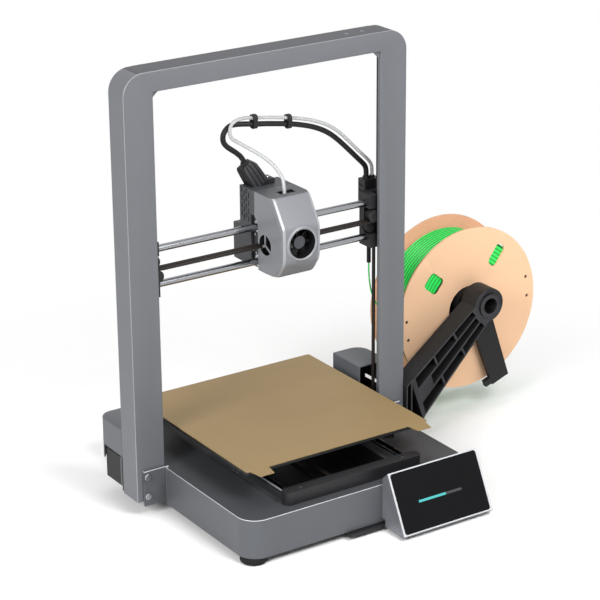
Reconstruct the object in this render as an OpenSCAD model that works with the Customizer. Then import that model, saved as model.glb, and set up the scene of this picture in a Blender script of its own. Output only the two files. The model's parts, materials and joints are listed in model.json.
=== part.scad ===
// Desktop filament printer: a one-piece portal carries the X gantry on vertical rods,
// the bed slides front to back on the base, and a spool hangs on an arm at the right.
// Millimetres, +Z up. The origin lies on the desk, under the middle of the portal's front face.

/* [Portal] */
// Width of the portal across both uprights
portal_w = 356; // [340:1:380]
// Height of the portal's top above the desk
portal_top = 496; // [480:1:520]
// Depth of the portal's outer walls, front to back
portal_d = 32; // [32:0.5:36]
// Width of one upright
upright_w = 35; // [35:0.5:38]
// Height of the top bar
top_bar_h = 22; // [22:0.5:28]
// Radius of the two outer top corners
portal_corner_r = 24; // [12:1:30]
// Wall of the portal's channel section
portal_wall = 3; // [2.5:0.1:3]
// Depth of the inner lip of the channel
lip_d = 6; // [5:0.5:6]
// Height of the uprights' lower ends above the desk
portal_foot_z = 18; // [15:0.5:20]

/* [Base] */
// Front face of the base, ahead of the portal's front face
base_front = 170; // [165:1:180]
// Rear face of the base, behind the portal's front face
base_rear = 152; // [150:1:165]
// Height of the base's top above the desk
base_top = 53; // [52.5:0.1:54]
// Height of the rubber feet
foot_h = 8; // [6:0.5:9]
// Diameter of the rubber feet
foot_d = 30; // [20:1:32]
// Radius of the base's front corners
base_corner_r = 22; // [14:1:26]
// Radius of the base's rear corners
rear_corner_r = 12; // [6:1:14]
// Wall of the base shell
base_wall = 3; // [2:0.1:3.5]
// How much narrower the base is behind the portal, each side
rear_step = 13; // [13:0.5:16]

/* [Bed] */
// Width and depth of the build plate
plate_w = 235; // [220:1:240]
// Height of the plate's top above the desk
plate_top = 88.8; // [87:0.1:92]
// Thickness of the removable spring steel plate
plate_t = 1.2; // [0.8:0.1:1.6]
// Thickness of the heated bed
heater_t = 4; // [3:0.1:5]
// Bed centre at rest, from the portal's front face
bed_y = -10; // [-12:0.5:-8]
// Distance of each Y rod from the middle
y_rod_x = 77; // [74:0.5:80]
// Diameter of the Y and X rods
rod_d = 8; // [7:0.1:8]
// Outer diameter of the linear bearings
bearing_d = 15; // [14:0.1:15]
// Length of each Y bearing
y_bearing_l = 45; // [40:0.5:46]

/* [Gantry] */
// Height of the gantry's middle at rest
gantry_z = 277; // [240:1:300]
// Spacing of the two X rods
x_rod_gap = 40; // [40:0.5:44]
// X rods behind the portal's front face
x_rod_y = 20; // [19.5:0.1:20.5]
// Diameter of the two Z rods
z_rod_d = 8; // [6:0.1:8]
// Width of each X end's rod bosses
x_end_w = 9.5; // [9.5:0.1:12]

/* [Toolhead] */
// Toolhead middle at rest
head_x = 16; // [-80:1:80]
// Width of the toolhead
head_w = 50; // [48:0.5:52]
// Height of the shroud's top above the gantry's middle
head_rise = 60; // [58:0.5:64]
// Depth of the shroud's underside below the gantry's middle
head_drop = 28.5; // [28:0.1:30]
// Front of the shroud, ahead of the portal's front face
head_front = 34; // [33:0.5:38]
// Wall of the shroud and of the rear cover
shell_t = 2; // [1.5:0.1:2.2]
// Radius of the fan opening in the shroud
fan_r = 16.5; // [14:0.1:17]

/* [Drive] */
// Running radius of the belt pulleys
pulley_r = 6; // [5.5:0.1:6]
// Width of the toothed belts
belt_w = 5; // [4:0.1:5]
// Thickness of the toothed belts
belt_t = 1.4; // [1.2:0.1:1.4]
// Side of the square stepper motors
motor_s = 42.3; // [39:0.1:42.3]
// Length of the stepper motors
motor_l = 40; // [34:0.5:42]

/* [Spool] */
// Diameter of the spool's flanges
spool_d = 200; // [190:1:204]
// Width of the spool over both flanges
spool_w = 60; // [60:0.5:66]
// Thickness of one flange
flange_t = 2.5; // [2:0.1:3]
// Diameter of the spool's bore
spool_bore_d = 56; // [50:0.5:60]
// Spool middle to the right of the portal's middle
spool_x = 297; // [292:1:310]
// Height of the spool rod's axis
spool_rod_z = 147; // [142:1:160]
// Diameter of the spool rod
spool_rod_d = 22; // [16:0.5:26]
// Diameter of the filament
filament_d = 1.75; // [1.6:0.01:1.75]
// Turns in the outer layer of filament
wind_turns = 24; // [20:1:24]

/* [Screen] */
// Left edge of the screen housing
screen_x0 = 26; // [24:1:40]
// Width of the screen housing
screen_w = 119; // [110:1:126]
// Height of the housing's upper front edge
screen_top = 68.5; // [64:0.5:72]
// Reach of the housing's lower front edge ahead of the base
screen_reach = 41; // [38:0.5:48]

/* [Clearances] */
// Radial clearance of a rod or shaft in its bore
run_gap = 0.05; // [0.03:0.01:0.08]
// Gap between parts that pass each other
pass_gap = 0.3; // [0.3:0.05:0.4]

/* [Hidden] */
$fn = 48;
// Overshoot of a cutter past the face it cuts
over = 1;

// Portal and base
portal_half = portal_w / 2;
inner_half = portal_half - upright_w;
inner_top = portal_top - top_bar_h;
channel_half = portal_half - portal_wall;
base_half = inner_half;
rear_half = base_half - rear_step;
base_bottom = foot_h;
foot_inset = foot_d / 2 + 1;
wing_t = 3;
wing_w = 28;
wing_top = base_top + 2;
wing_bottom = base_bottom + 5;
wing_screw_x = inner_half + wing_w * 0.86;
wing_screw_z = [wing_bottom + 12, wing_top - 7];
screw_r = 2.5;
screw_head_h = 2.4;
screw_tail = 4;
cover_t = 2;
seat_gap = 0.2;

// Y axis
rod_r = rod_d / 2;
bearing_r = bearing_d / 2;
y_rod_z = base_top + rod_r + pass_gap + 2.7;
trough_half = 68;
trough_floor = 18;
trough_front = -base_front + 28;
trough_rear = base_rear - base_wall;
end_bar_d = 14.5;
end_bar_h = y_rod_z + rod_r + 3.5 - base_top;
end_bar_y = -base_front + 11.5;
end_bar_half = y_rod_x + 11;
rear_end_y = base_rear - 26;
motor_half = motor_s / 2;
y_drive_z = trough_floor + motor_half + seat_gap;
y_pulley_y = base_rear - 26;
y_idler_y = end_bar_y + end_bar_d + 10;
y_motor_x = 10;

// Bed
plate_half = plate_w / 2;
heater_top = plate_top - plate_t;
heater_bottom = heater_top - heater_t;
carriage_t = 3;
carriage_z = y_rod_z + bearing_r + 2.5;
spacer_at = 85;
spacer_r = 5;

// Belts: the left motor's belt runs in plane A, the right motor's behind it in plane B
belt_gap = pass_gap;
wrap_in = pulley_r + belt_gap;
wrap_out = wrap_in + belt_t;
flange_r = pulley_r + 1.2;
pulley_flange = 0.6;
groove_w = belt_w + 0.8;
pulley_w = groove_w + 2 * pulley_flange;
plane_a = lip_d + 0.5;
plane_b = plane_a + pulley_w + 0.4;
motor_x = portal_half - 24;
motor_z = 40;
motor_y = portal_d + 2;
strand_out = motor_x + wrap_in;
strand_in = motor_x - wrap_out;
idler_in_x = strand_in - wrap_in;
idler_z = portal_top - portal_wall - flange_r - 3.8;
axle_r = 2.5;

// Gantry
x_rod_z = [gantry_z - x_rod_gap / 2, gantry_z + x_rod_gap / 2];
x_end_out = strand_in - pass_gap;
x_span_half = x_end_out - x_end_w;
z_rod_x = portal_half - 10;
z_rod_y = 24;
z_rod_r = z_rod_d / 2;
x_end_half_h = x_rod_gap / 2 + 11;
x_end_front = 9;
x_end_back = portal_d - 1;
web_front = plane_b + pulley_w + 0.6;
sleeve_in = strand_out + belt_t + 0.4;
sleeve_out = channel_half - 0.7;
x_idler_z = [gantry_z - belt_t / 2 - wrap_in, gantry_z + belt_t / 2 + wrap_in];

// Toolhead
head_x0 = head_x - head_w / 2;
head_x1 = head_x + head_w / 2;
head_top = gantry_z + head_rise;
head_bottom = gantry_z - head_drop;
head_y = 0;
shroud_back = x_rod_y - rod_r - pass_gap;
fan_z = gantry_z + 11;
fan_s = 2 * fan_r + 3;
fan_y0 = -head_front + shell_t + 2.5;
fan_t = 10;
rear_y0 = x_rod_y + bearing_r + 1.8;
rear_y1 = 52;
neck_y = 22;
neck_z = gantry_z + 32;
neck_gap = 0.2;
bulge_y1 = 66;
bulge_top = gantry_z + 14;
block_front = x_rod_y - bearing_r - 1.5;
block_back = x_rod_y + bearing_r + 1.5;
block_half = head_w / 2 - shell_t - 0.3;
tower_back = x_rod_y;
gear_z = head_top - 19;
gear_r = 6.5;
gear_x = head_x - gear_r - filament_d / 2;
feed_motor_r = 17;
nozzle_tip = head_bottom - 3.3;

// Spool and its arm
bore_r = spool_bore_d / 2;
spool_rod_r = spool_rod_d / 2;
drum_r = 20;
drum_z = spool_rod_z + spool_rod_r - drum_r + 0.5;
spool_z = drum_z + drum_r - bore_r + pass_gap;
arm_front = -6;
arm_back = 20;
leg_t = 6;
spool_y0 = arm_back + leg_t + 8;
spool_y1 = spool_y0 + spool_w;
boss_r = 20.5;
boss_hole_r = 9.5;
hub_r = bore_r + 3;
wind_pitch = (spool_w - 2 * flange_t - filament_d - 0.6) / wind_turns;
wind_r = 84;
wind_steps = 24;
core_r = wind_r * cos(180 / wind_steps) - filament_d / 2 - 0.15;

// Screen
screen_back = -base_front - seat_gap;
screen_foot = -base_front - screen_reach;
screen_foot_z = 6.5;
screen_brow = 9.5;
screen_lean = atan2(screen_reach - screen_brow, screen_top - screen_foot_z);
screen_face = norm([screen_reach - screen_brow, screen_top - screen_foot_z]);
glass_t = 1.2;
glass_margin = 2.5;

// Cord routes, chosen by hand
harness_r = 3;
tube_r = 2;
harness_route = [
    [-9, 42, 366], [-13, 42, 372], [-19, 42, 377.5], [-25, 42, 382], [-31, 42, 387], [-34.5, 42, 392.5],
    [-34.5, 42, 399.5], [-31, 42, 405], [-25.5, 42, 408.5], [-18.5, 42, 409], [-8, 41, 408],
    [3, 39.5, 406.5], [18, 39, 404.5], [33, 39, 402], [47, 39, 399.5], [62, 39, 396], [77, 39, 391.5],
    [90, 38.5, 386], [101, 38, 379.5], [111, 38, 371.5], [120, 37.5, 363], [128.5, 37, 354.5],
    [137, 37, 346], [145.5, 37, 337.5], [149, 37, 332.5], [150, 37, 327], [150, 37, 322]
];
tube_route = [
    [16, 0, 335], [16, 1, 343], [17, 5, 351], [15, 11, 359], [11, 17, 366], [5, 23, 372.5],
    [-3, 28, 379], [-11, 32, 384.5], [-19, 35, 390], [-26.5, 36, 395.5], [-29.5, 36, 401],
    [-29.5, 36, 407], [-26.5, 36, 412.5], [-21, 36, 415.5], [-15, 36.5, 416], [-7, 38, 415.5],
    [3, 39.5, 413.5], [18, 39, 411.5], [33, 39, 409], [47, 39, 406.5], [62, 39, 403], [78, 38.5, 398.5],
    [94, 38, 392], [106, 38, 385], [117, 37.5, 376], [126.5, 37, 366.5], [135, 37, 358],
    [143.5, 37, 349.5], [152, 37, 341], [157, 37, 334], [158, 37, 327], [158, 37, 322]
];
strand_route = [
    [147, 27, 232], [147, 27, 222], [147, 27, 215], [148, 28, 207], [149.5, 29, 199], [152, 31, 191],
    [155.5, 34, 183], [160, 37, 175], [165.5, 41, 167], [172, 46, 159], [179.5, 51, 152], [187, 55, 145],
    [194.5, 59, 139], [202, 62, 133], [207, 63, 127], [210, 64, 120], [212.5, 64, 113]
];

// A solid box from two corners
module box(x0, x1, y0, y1, z0, z1) {
    translate([x0, y0, z0])
        cube([x1 - x0, y1 - y0, z1 - z0]);
}

// A flat XZ profile drawn out along Y
module along_y(y0, y1) {
    translate([0, y1, 0])
        rotate([90, 0, 0])
            linear_extrude(y1 - y0)
                children();
}

// A flat YZ profile drawn out along X
module along_x(x0, x1) {
    translate([x0, 0, 0])
        rotate([90, 0, 90])
            linear_extrude(x1 - x0)
                children();
}

module rod_y(r, x, z, y0, y1) {
    translate([x, y1, z])
        rotate([90, 0, 0])
            cylinder(r = r, h = y1 - y0);
}

module rod_x(r, y, z, x0, x1) {
    translate([x0, y, z])
        rotate([0, 90, 0])
            cylinder(r = r, h = x1 - x0);
}

module both_sides() {
    children();
    mirror([1, 0, 0])
        children();
}

// A flat rectangle with round corners, from two corners and a radius
module round_rect(x0, x1, y0, y1, r) {
    translate([x0 + r, y0])
        square([x1 - x0 - 2 * r, y1 - y0]);
    translate([x0, y0 + r])
        square([x1 - x0, y1 - y0 - 2 * r]);
    for (x = [x0 + r, x1 - r], y = [y0 + r, y1 - r])
        translate([x, y])
            circle(r);
}

// Rings of a tube swept along a route, with its frame carried from point to point
function unit(v) = v / norm(v);
function heading(p, i) =
    unit(p[min(i + 1, len(p) - 1)] - p[max(i - 1, 0)]);
function side_of(t) = unit(cross(t, abs(t.y) < 0.9 ? [0, 1, 0] : [1, 0, 0]));
function ring(c, t, r, n) =
    let (u = side_of(t), v = cross(t, u))
        [for (k = [0:n - 1]) c + r * (u * cos(360 * k / n) + v * sin(360 * k / n))];

module tube_along(route, r, sides) {
    last = len(route) - 1;
    points = [for (i = [0:last]) each ring(route[i], heading(route, i), r, sides)];
    walls = [
        for (i = [0:last - 1], k = [0:sides - 1])
            let (a = i * sides + k, b = i * sides + (k + 1) % sides)
                each [[a, a + sides, b], [b, a + sides, b + sides]]
    ];
    near_cap = [for (k = [1:sides - 2]) [0, k, k + 1]];
    far_cap = [for (k = [1:sides - 2]) [last * sides, last * sides + k + 1, last * sides + k]];
    polyhedron(points = points, faces = concat(walls, near_cap, far_cap), convexity = 8);
}

// Outline of the base from above, drawn in by an inset
module base_outline(inset) {
    fr = base_corner_r - inset;
    rr = rear_corner_r - inset;
    round_rect(-base_half + inset, base_half - inset, -base_front + inset, 0, fr);
    translate([-base_half + inset, -base_front / 2])
        square([2 * (base_half - inset), base_front / 2 + portal_d - inset]);
    round_rect(-rear_half + inset, rear_half - inset, 0, base_rear - inset, rr);
    translate([-rear_half + inset, -base_front / 2])
        square([2 * (rear_half - inset), base_front]);
}

module trough_box(wall) {
    box(-trough_half - wall, trough_half + wall, trough_front - wall, trough_rear,
        trough_floor - wall, base_top + over * (wall == 0 ? 1 : 0));
}

inlet_x = -(trough_half + rear_half) / 2;
inlet_w = 27;
inlet_h = 20;
inlet_z = base_bottom + 14;
switch_w = 19;
switch_h = 11;
switch_z = inlet_z + 20;

module base_shell() {
    color("slategray") {
        difference() {
            translate([0, 0, base_bottom])
                linear_extrude(base_top - base_bottom)
                    base_outline(0);
            difference() {
                translate([0, 0, base_bottom - over])
                    linear_extrude(base_top - base_bottom - base_wall + over)
                        base_outline(base_wall);
                trough_box(base_wall);
            }
            trough_box(0);
            for (s = [-1, 1])
                box(s * y_rod_x - 12, s * y_rod_x + 12, trough_front, rear_end_y, base_top - 2,
                    base_top + over);
            box(inlet_x - inlet_w / 2, inlet_x + inlet_w / 2, trough_rear - over, base_rear + over,
                inlet_z - inlet_h / 2, inlet_z + inlet_h / 2);
            box(inlet_x - switch_w / 2, inlet_x + switch_w / 2, trough_rear - over,
                base_rear + over, switch_z - switch_h / 2, switch_z + switch_h / 2);
        }
        both_sides()
            difference() {
                box(inner_half - base_wall, inner_half + wing_w, -wing_t, 0, wing_bottom, wing_top);
                for (z = wing_screw_z)
                    rod_y(screw_r + 0.1, wing_screw_x, z, -wing_t - over, over);
            }
    }
}

tongue_x = [-20, 30];

module base_cover() {
    color("dimgray") {
        translate([0, 0, base_bottom])
            linear_extrude(cover_t)
                base_outline(base_wall + seat_gap);
        box(tongue_x[0], tongue_x[1], -base_front - 6, -base_front + 40, base_bottom - 4,
            base_bottom);
    }
}

module foot_profile() {
    r = foot_d / 2;
    polygon([[0, 0], [r - 2, 0], [r, 2], [r, foot_h - 2], [r - 1.5, foot_h], [0, foot_h]]);
}

module feet() {
    color("black")
        both_sides()
            for (p = [[base_half, -base_front + foot_inset], [rear_half, base_rear - foot_inset]])
                translate([p.x - foot_inset, p.y, 0])
                    rotate_extrude()
                        foot_profile();
}

module button_screw(x, z, y_face, length) {
    rod_y(screw_r, x, z, y_face - over / 2, y_face + length);
    rod_y(screw_r * 1.5, x, z, y_face - screw_head_h, y_face);
}

module wing_screws() {
    color("silver")
        both_sides()
            for (z = wing_screw_z)
                button_screw(wing_screw_x, z, -wing_t, wing_t + portal_wall + screw_tail);
}

// Front view of the portal, its outer edges drawn in by out and its inner ones by lip
module portal_outline(out, lip) {
    r = portal_corner_r - out;
    half = portal_half - out;
    top = portal_top - out;
    difference() {
        union() {
            translate([-half, portal_foot_z - (out > 0 ? over : 0)])
                square([2 * half, top - r - portal_foot_z + (out > 0 ? over : 0)]);
            translate([-half + r, top - r - over])
                square([2 * (half - r), r + over]);
            for (s = [-1, 1])
                translate([s * (half - r), top - r])
                    circle(r);
        }
        translate([-inner_half - lip, 0])
            square([2 * (inner_half + lip), inner_top + lip]);
    }
}

gusset = 8;

module portal_frame() {
    color("slategray") {
        difference() {
            along_y(0, portal_d)
                portal_outline(0, 0);
            along_y(portal_wall, portal_d + over)
                portal_outline(portal_wall, portal_wall);
            along_y(lip_d, portal_d + over)
                translate([-inner_half - portal_wall - over, portal_foot_z - over])
                    square([2 * (inner_half + portal_wall + over), inner_top + portal_wall + over]);
            for (s = [-1, 1], z = wing_screw_z)
                rod_y(screw_r + 0.1, s * wing_screw_x, z, -over, portal_wall + over);
        }
        both_sides() {
            along_y(0, lip_d)
                polygon([[inner_half, inner_top], [inner_half - gusset, inner_top],
                         [inner_half, inner_top - gusset]]);
            rod_y(axle_r, motor_x, idler_z, portal_wall, plane_b + pulley_w);
            rod_y(axle_r, idler_in_x, idler_z, portal_wall, plane_b + pulley_w);
        }
    }
}

clamp_h = 16;
clamp_in = sleeve_in;
clamp_out = channel_half - seat_gap;
clamp_low = 26;
clamp_high = portal_top - portal_corner_r - clamp_h - 0.5;
clamp_front = z_rod_y - z_rod_r - 4;

module z_rods() {
    color("gainsboro")
        both_sides()
            translate([z_rod_x, z_rod_y, clamp_low])
                cylinder(r = z_rod_r, h = clamp_high + clamp_h - clamp_low);
}

// Lower clamps also carry the motors on a plate behind the channel
module z_rod_clamps() {
    color("dimgray")
        both_sides() {
            difference() {
                union() {
                    box(clamp_in, clamp_out, clamp_front, portal_d, clamp_low, clamp_low + clamp_h);
                    along_y(portal_d, motor_y)
                        round_rect(motor_x - motor_half, portal_half, motor_z - motor_half,
                                   motor_z + motor_half, 3);
                }
                translate([z_rod_x, z_rod_y, clamp_low - over])
                    cylinder(r = z_rod_r + run_gap, h = clamp_h + 2 * over);
                rod_y(11 + 2 * run_gap, motor_x, motor_z, portal_d - over, motor_y + over);
            }
            difference() {
                box(clamp_in, clamp_out, clamp_front, portal_d, clamp_high, clamp_high + clamp_h);
                translate([z_rod_x, z_rod_y, clamp_high - over])
                    cylinder(r = z_rod_r + run_gap, h = clamp_h + 2 * over);
            }
        }
}

// A square stepper motor, its shaft along -Z from the mounting face at z = 0
module stepper(shaft) {
    c = 4;
    h = motor_half;
    linear_extrude(motor_l)
        polygon([[h, h - c], [h - c, h], [c - h, h], [-h, h - c], [-h, c - h], [c - h, -h],
                 [h - c, -h], [h, c - h]]);
    translate([0, 0, -2])
        cylinder(r = 11, h = 2);
    translate([0, 0, -shaft])
        cylinder(r = axle_r, h = shaft);
}

module stepper_motors() {
    color("dimgray") {
        both_sides()
            translate([motor_x, motor_y, motor_z])
                rotate([-90, 0, 0])
                    stepper(motor_y - plane_a + 1);
        translate([y_motor_x, y_pulley_y, y_drive_z])
            rotate([0, 90, 0])
                stepper(y_motor_x + pulley_w / 2 + 1);
    }
}

cover_in = x_span_half + 1;
cover_y1 = motor_y + motor_l + 12;
cover_z0 = motor_z + motor_half + seat_gap;
cover_h = 32;
cover_z1 = cover_z0 + cover_h;
cover_r = 16;
cover_t2 = 2;
cover_skirt = 17;

module cover_outline(inset) {
    r = cover_r - inset;
    x0 = cover_in + inset;
    x1 = portal_half - inset;
    y1 = cover_y1 - inset;
    translate([x0, portal_d])
        square([x1 - x0 - r, y1 - portal_d]);
    translate([x0, portal_d])
        square([x1 - x0, y1 - portal_d - r]);
    translate([x1 - r, y1 - r])
        circle(r);
}

module motor_covers() {
    color("slategray")
        both_sides() {
            difference() {
                translate([0, 0, cover_z0 - cover_skirt])
                    linear_extrude(cover_h + cover_skirt)
                        cover_outline(0);
                translate([0, 0, cover_z0 - cover_skirt - over])
                    linear_extrude(cover_h + cover_skirt - cover_t2 + over)
                        cover_outline(cover_t2);
                box(cover_in - over, portal_half + over, portal_d - over, motor_y + motor_l + 1,
                    cover_z0 - cover_skirt - over, cover_z0);
            }
        }
}

// One belt strand wrapped round part of a pulley, seen in the XZ plane
module wrap(x, z, from, to) {
    translate([x, z])
        intersection() {
            difference() {
                circle(wrap_out);
                circle(wrap_in);
            }
            polygon([[0, 0], for (a = [from:(to - from) / 4:to]) 2 * wrap_out * [cos(a), sin(a)]]);
        }
}

// The belt of the left motor: up the outer run, across the top and down the far inner run
module drive_belt() {
    low = motor_z;
    wrap(-motor_x, motor_z, 180, 360);
    translate([-strand_out - belt_t, low])
        square([belt_t, idler_z - low]);
    translate([-strand_in - belt_t, low])
        square([belt_t, x_idler_z[0] - low]);
    wrap(-motor_x, idler_z, 90, 180);
    translate([-motor_x, idler_z + wrap_in])
        square([motor_x + idler_in_x, belt_t]);
    wrap(idler_in_x, idler_z, 0, 90);
    translate([strand_in, x_idler_z[1]])
        square([belt_t, idler_z - x_idler_z[1]]);
}

belt_in = pulley_flange + 0.4;

module drive_belts() {
    color("#33261f") {
        along_y(plane_a + belt_in, plane_a + belt_in + belt_w)
            drive_belt();
        mirror([1, 0, 0])
            along_y(plane_b + belt_in, plane_b + belt_in + belt_w)
                drive_belt();
    }
}

// A flanged belt pulley along +Z from z = 0, plain or with belt teeth
module pulley(teeth) {
    difference() {
        rotate_extrude()
            polygon([[axle_r + run_gap, 0], [flange_r, 0], [flange_r, pulley_flange],
                     [pulley_r, pulley_flange], [pulley_r, pulley_w - pulley_flange],
                     [flange_r, pulley_w - pulley_flange], [flange_r, pulley_w],
                     [axle_r + run_gap, pulley_w]]);
        for (k = [0:1:teeth - 1])
            rotate(360 * k / teeth)
                translate([pulley_r, 0, pulley_flange + 0.3])
                    cylinder(r = 0.55, h = groove_w - 0.6, $fn = 16);
    }
}

module pulley_y(x, z, y0, teeth) {
    translate([x, y0 + pulley_w, z])
        rotate([90, 0, 0])
            pulley(teeth);
}

module pulley_x(y, z, teeth) {
    translate([-pulley_w / 2, y, z])
        rotate([0, 90, 0])
            pulley(teeth);
}

teeth = 20;

module motor_pulley_left() {
    color("silver")
        pulley_y(-motor_x, motor_z, plane_a, teeth);
}

module motor_pulley_right() {
    color("silver")
        pulley_y(motor_x, motor_z, plane_b, teeth);
}

module top_idler_left_outer() {
    color("silver")
        pulley_y(-motor_x, idler_z, plane_a, 0);
}

module top_idler_left_inner() {
    color("silver")
        pulley_y(-idler_in_x, idler_z, plane_b, 0);
}

module top_idler_right_outer() {
    color("silver")
        pulley_y(motor_x, idler_z, plane_b, 0);
}

module top_idler_right_inner() {
    color("silver")
        pulley_y(idler_in_x, idler_z, plane_a, 0);
}

module y_pulley() {
    color("silver")
        pulley_x(y_pulley_y, y_drive_z, teeth);
}

module y_idler() {
    color("silver")
        pulley_x(y_idler_y, y_drive_z, 0);
}

module y_rods() {
    color("gainsboro")
        both_sides()
            translate([y_rod_x, end_bar_y + 1, y_rod_z])
                rotate([-90, 0, 0])
                    cylinder(r = rod_r, h = rear_end_y + end_bar_d - end_bar_y - 2);
}

cheek_t = 3;

// Front bar with the belt idler's fork, and a block at each rod's rear end
module y_rod_ends() {
    color("dimgray") {
        difference() {
            union() {
                translate([0, 0, base_top])
                    linear_extrude(end_bar_h)
                        round_rect(-end_bar_half, end_bar_half, end_bar_y, end_bar_y + end_bar_d, 6);
                both_sides()
                    box(pulley_w / 2 + pass_gap, pulley_w / 2 + pass_gap + cheek_t,
                        end_bar_y + end_bar_d - 3, y_idler_y + 5, y_drive_z - 6, base_top + 6);
            }
            for (s = [-1, 1])
                translate([s * y_rod_x, end_bar_y + 1, y_rod_z])
                    rotate([-90, 0, 0])
                        cylinder(r = rod_r + run_gap, h = end_bar_d);
            box(-end_bar_half, end_bar_half, end_bar_y - over, trough_front, 0, base_top);
        }
        rod_x(axle_r, y_idler_y, y_drive_z, -pulley_w / 2 - pass_gap - cheek_t,
              pulley_w / 2 + pass_gap + cheek_t);
        both_sides()
            difference() {
                box(y_rod_x - 12, y_rod_x + 11, rear_end_y, rear_end_y + end_bar_d, base_top,
                    base_top + end_bar_h);
                translate([y_rod_x, rear_end_y - over, y_rod_z])
                    rotate([-90, 0, 0])
                        cylinder(r = rod_r + run_gap, h = end_bar_d);
            }
    }
}

module y_belt() {
    color("#33261f")
        along_x(-belt_w / 2, belt_w / 2) {
            wrap(y_pulley_y, y_drive_z, -90, 90);
            wrap(y_idler_y, y_drive_z, 90, 270);
            for (z = [y_drive_z - wrap_out, y_drive_z + wrap_in])
                translate([y_idler_y, z])
                    square([y_pulley_y - y_idler_y, belt_t]);
        }
}

// Side view of the screen housing: a wedge that leans on the base's front
module screen_side() {
    polygon([[screen_back, base_top + 7], [-base_front - screen_brow, screen_top],
             [screen_foot, screen_foot_z], [screen_foot + 3, screen_foot_z - 3],
             [-base_front - 6, screen_foot_z - 1.5], [screen_back, base_bottom + 2]]);
}

// Moves to the screen's face: x across, y up the slope, z outwards
module on_screen() {
    translate([screen_x0, screen_foot, screen_foot_z])
        rotate([90 - screen_lean, 0, 0])
            children();
}

module screen_housing() {
    color("silver")
        difference() {
            along_x(screen_x0, screen_x0 + screen_w)
                screen_side();
            on_screen()
                translate([0, 0, -glass_t])
                    linear_extrude(glass_t + over)
                        round_rect(glass_margin, screen_w - glass_margin, 1.5, screen_face - 1.5, 3);
            box(tongue_x[0], tongue_x[1] + seat_gap, -base_front - 6 - seat_gap, screen_back + over,
                base_bottom - 4 - seat_gap, base_bottom + 5);
        }
}

module screen_glass() {
    g = 0.1;
    color("black")
        on_screen()
            translate([0, 0, g - glass_t])
                linear_extrude(glass_t - g + 0.2)
                    round_rect(glass_margin + g, screen_w - glass_margin - g, 1.5 + g,
                               screen_face - 1.5 - g, 3 - g);
}

// Arm of the spool holder: wide where it meets the portal, narrow at its boss
arm_boss = [spool_x, spool_rod_z];
arm_root = [portal_half + seat_gap, portal_foot_z];
arm_root_w = 26;
arm_root_h = 54;
arm_half = 14.5;
arm_side = arm_half * unit([-(spool_rod_z - portal_foot_z - 18), spool_x - portal_half - 15]);
rib = 1.8;
lower_foot = arm_root + [arm_root_w, 8.7];
upper_foot = arm_root + [0, arm_root_h];
lower_tip = arm_boss - arm_side;
upper_tip = arm_boss + arm_side;
upper_in = upper_foot + 0.08 * (upper_tip - upper_foot);

// A point of the arm, from its foot (t = 0) to its boss and from its lower edge (f = 0) to its upper
function arm_at(t, f) =
    (1 - t) * ((1 - f) * lower_foot + f * upper_in) + t * ((1 - f) * lower_tip + f * upper_tip);

module arm_outline() {
    polygon([arm_root, arm_root + [arm_root_w, 0], lower_foot, lower_tip, upper_tip, upper_foot]);
    translate(arm_boss)
        circle(boss_r);
}

module arm_pocket(t0, t1, f0, f1) {
    polygon([arm_at(t0, f0), arm_at(t1, f0), arm_at(t1, f1), arm_at(t0, f1)]);
}

module arm_pockets() {
    arm_pocket(0.2, 0.84, 0.37, 0.63);
    for (k = [0:2], f = [0.05, 0.69])
        arm_pocket(0.03 + 0.28 * k, 0.29 + 0.28 * k, f, f + 0.26);
    translate(arm_root) {
        polygon([[rib, rib], [rib + 5, rib], [rib + 5, arm_root_h + 3], [rib, arm_root_h - 1]]);
        polygon([[2 * rib + 5, rib], [arm_root_w - rib, rib], [arm_root_w - rib, 8],
                 [2 * rib + 5, arm_root_h - 1]]);
    }
}

leg_len = 120;
leg_turn = -70;
leg_end_w = 25.5;

// Front arm with ribbed pockets, and the flat leg that hangs behind its boss
module spool_arm() {
    color("#3a3a3c") {
        difference() {
            along_y(arm_front, arm_back)
                arm_outline();
            along_y(arm_front - over, arm_back - 6)
                arm_pockets();
            rod_y(boss_hole_r, spool_x, spool_rod_z, arm_front - over - 3, arm_back - 6);
        }
        along_y(arm_front - 3, arm_front)
            translate([spool_x, spool_rod_z])
                difference() {
                    circle(boss_hole_r + 5);
                    circle(boss_hole_r);
                }
        along_y(arm_back, arm_back + leg_t)
            translate([spool_x, spool_rod_z]) {
                circle(boss_r - 4);
                rotate(leg_turn) {
                    polygon([[0, -boss_r + 5], [0, boss_r - 5], [leg_len, leg_end_w / 2],
                             [leg_len, -leg_end_w / 2]]);
                    translate([leg_len - 10, -leg_end_w / 2 - 9])
                        square([8, 10]);
                }
            }
    }
}

module spool_rod() {
    color("#3a3a3c") {
        rod_y(spool_rod_r, spool_x, spool_rod_z, arm_back + leg_t, spool_y1 + 6);
        rod_y(drum_r, spool_x, drum_z, arm_back + leg_t + 3, spool_y1 + 3);
        rod_y(spool_rod_r + 4, spool_x, spool_rod_z, spool_y1 + 3, spool_y1 + 6);
    }
}

module spool_flange(y0) {
    difference() {
        rod_y(spool_d / 2, spool_x, spool_z, y0, y0 + flange_t);
        rod_y(bore_r, spool_x, spool_z, y0 - over, y0 + flange_t + over);
        along_y(y0 - over, y0 + flange_t + over)
            translate([spool_x, spool_z]) {
                rotate(55 - 90)
                    translate([0, 72])
                        round_rect(-7, 7, -14, 14, 6);
                rotate(141 - 90)
                    translate([0, 66])
                        round_rect(-10.5, 10.5, -11, 11, 5);
                for (a = [-2, 14, 179, 194])
                    rotate(a)
                        translate([spool_d / 2 - 10, 0])
                            circle(2);
            }
    }
}

module spool() {
    color("burlywood") {
        spool_flange(spool_y0);
        spool_flange(spool_y1 - flange_t);
        difference() {
            rod_y(hub_r, spool_x, spool_z, spool_y0 + flange_t, spool_y1 - flange_t);
            rod_y(bore_r, spool_x, spool_z, spool_y0, spool_y1);
        }
    }
}

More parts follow.
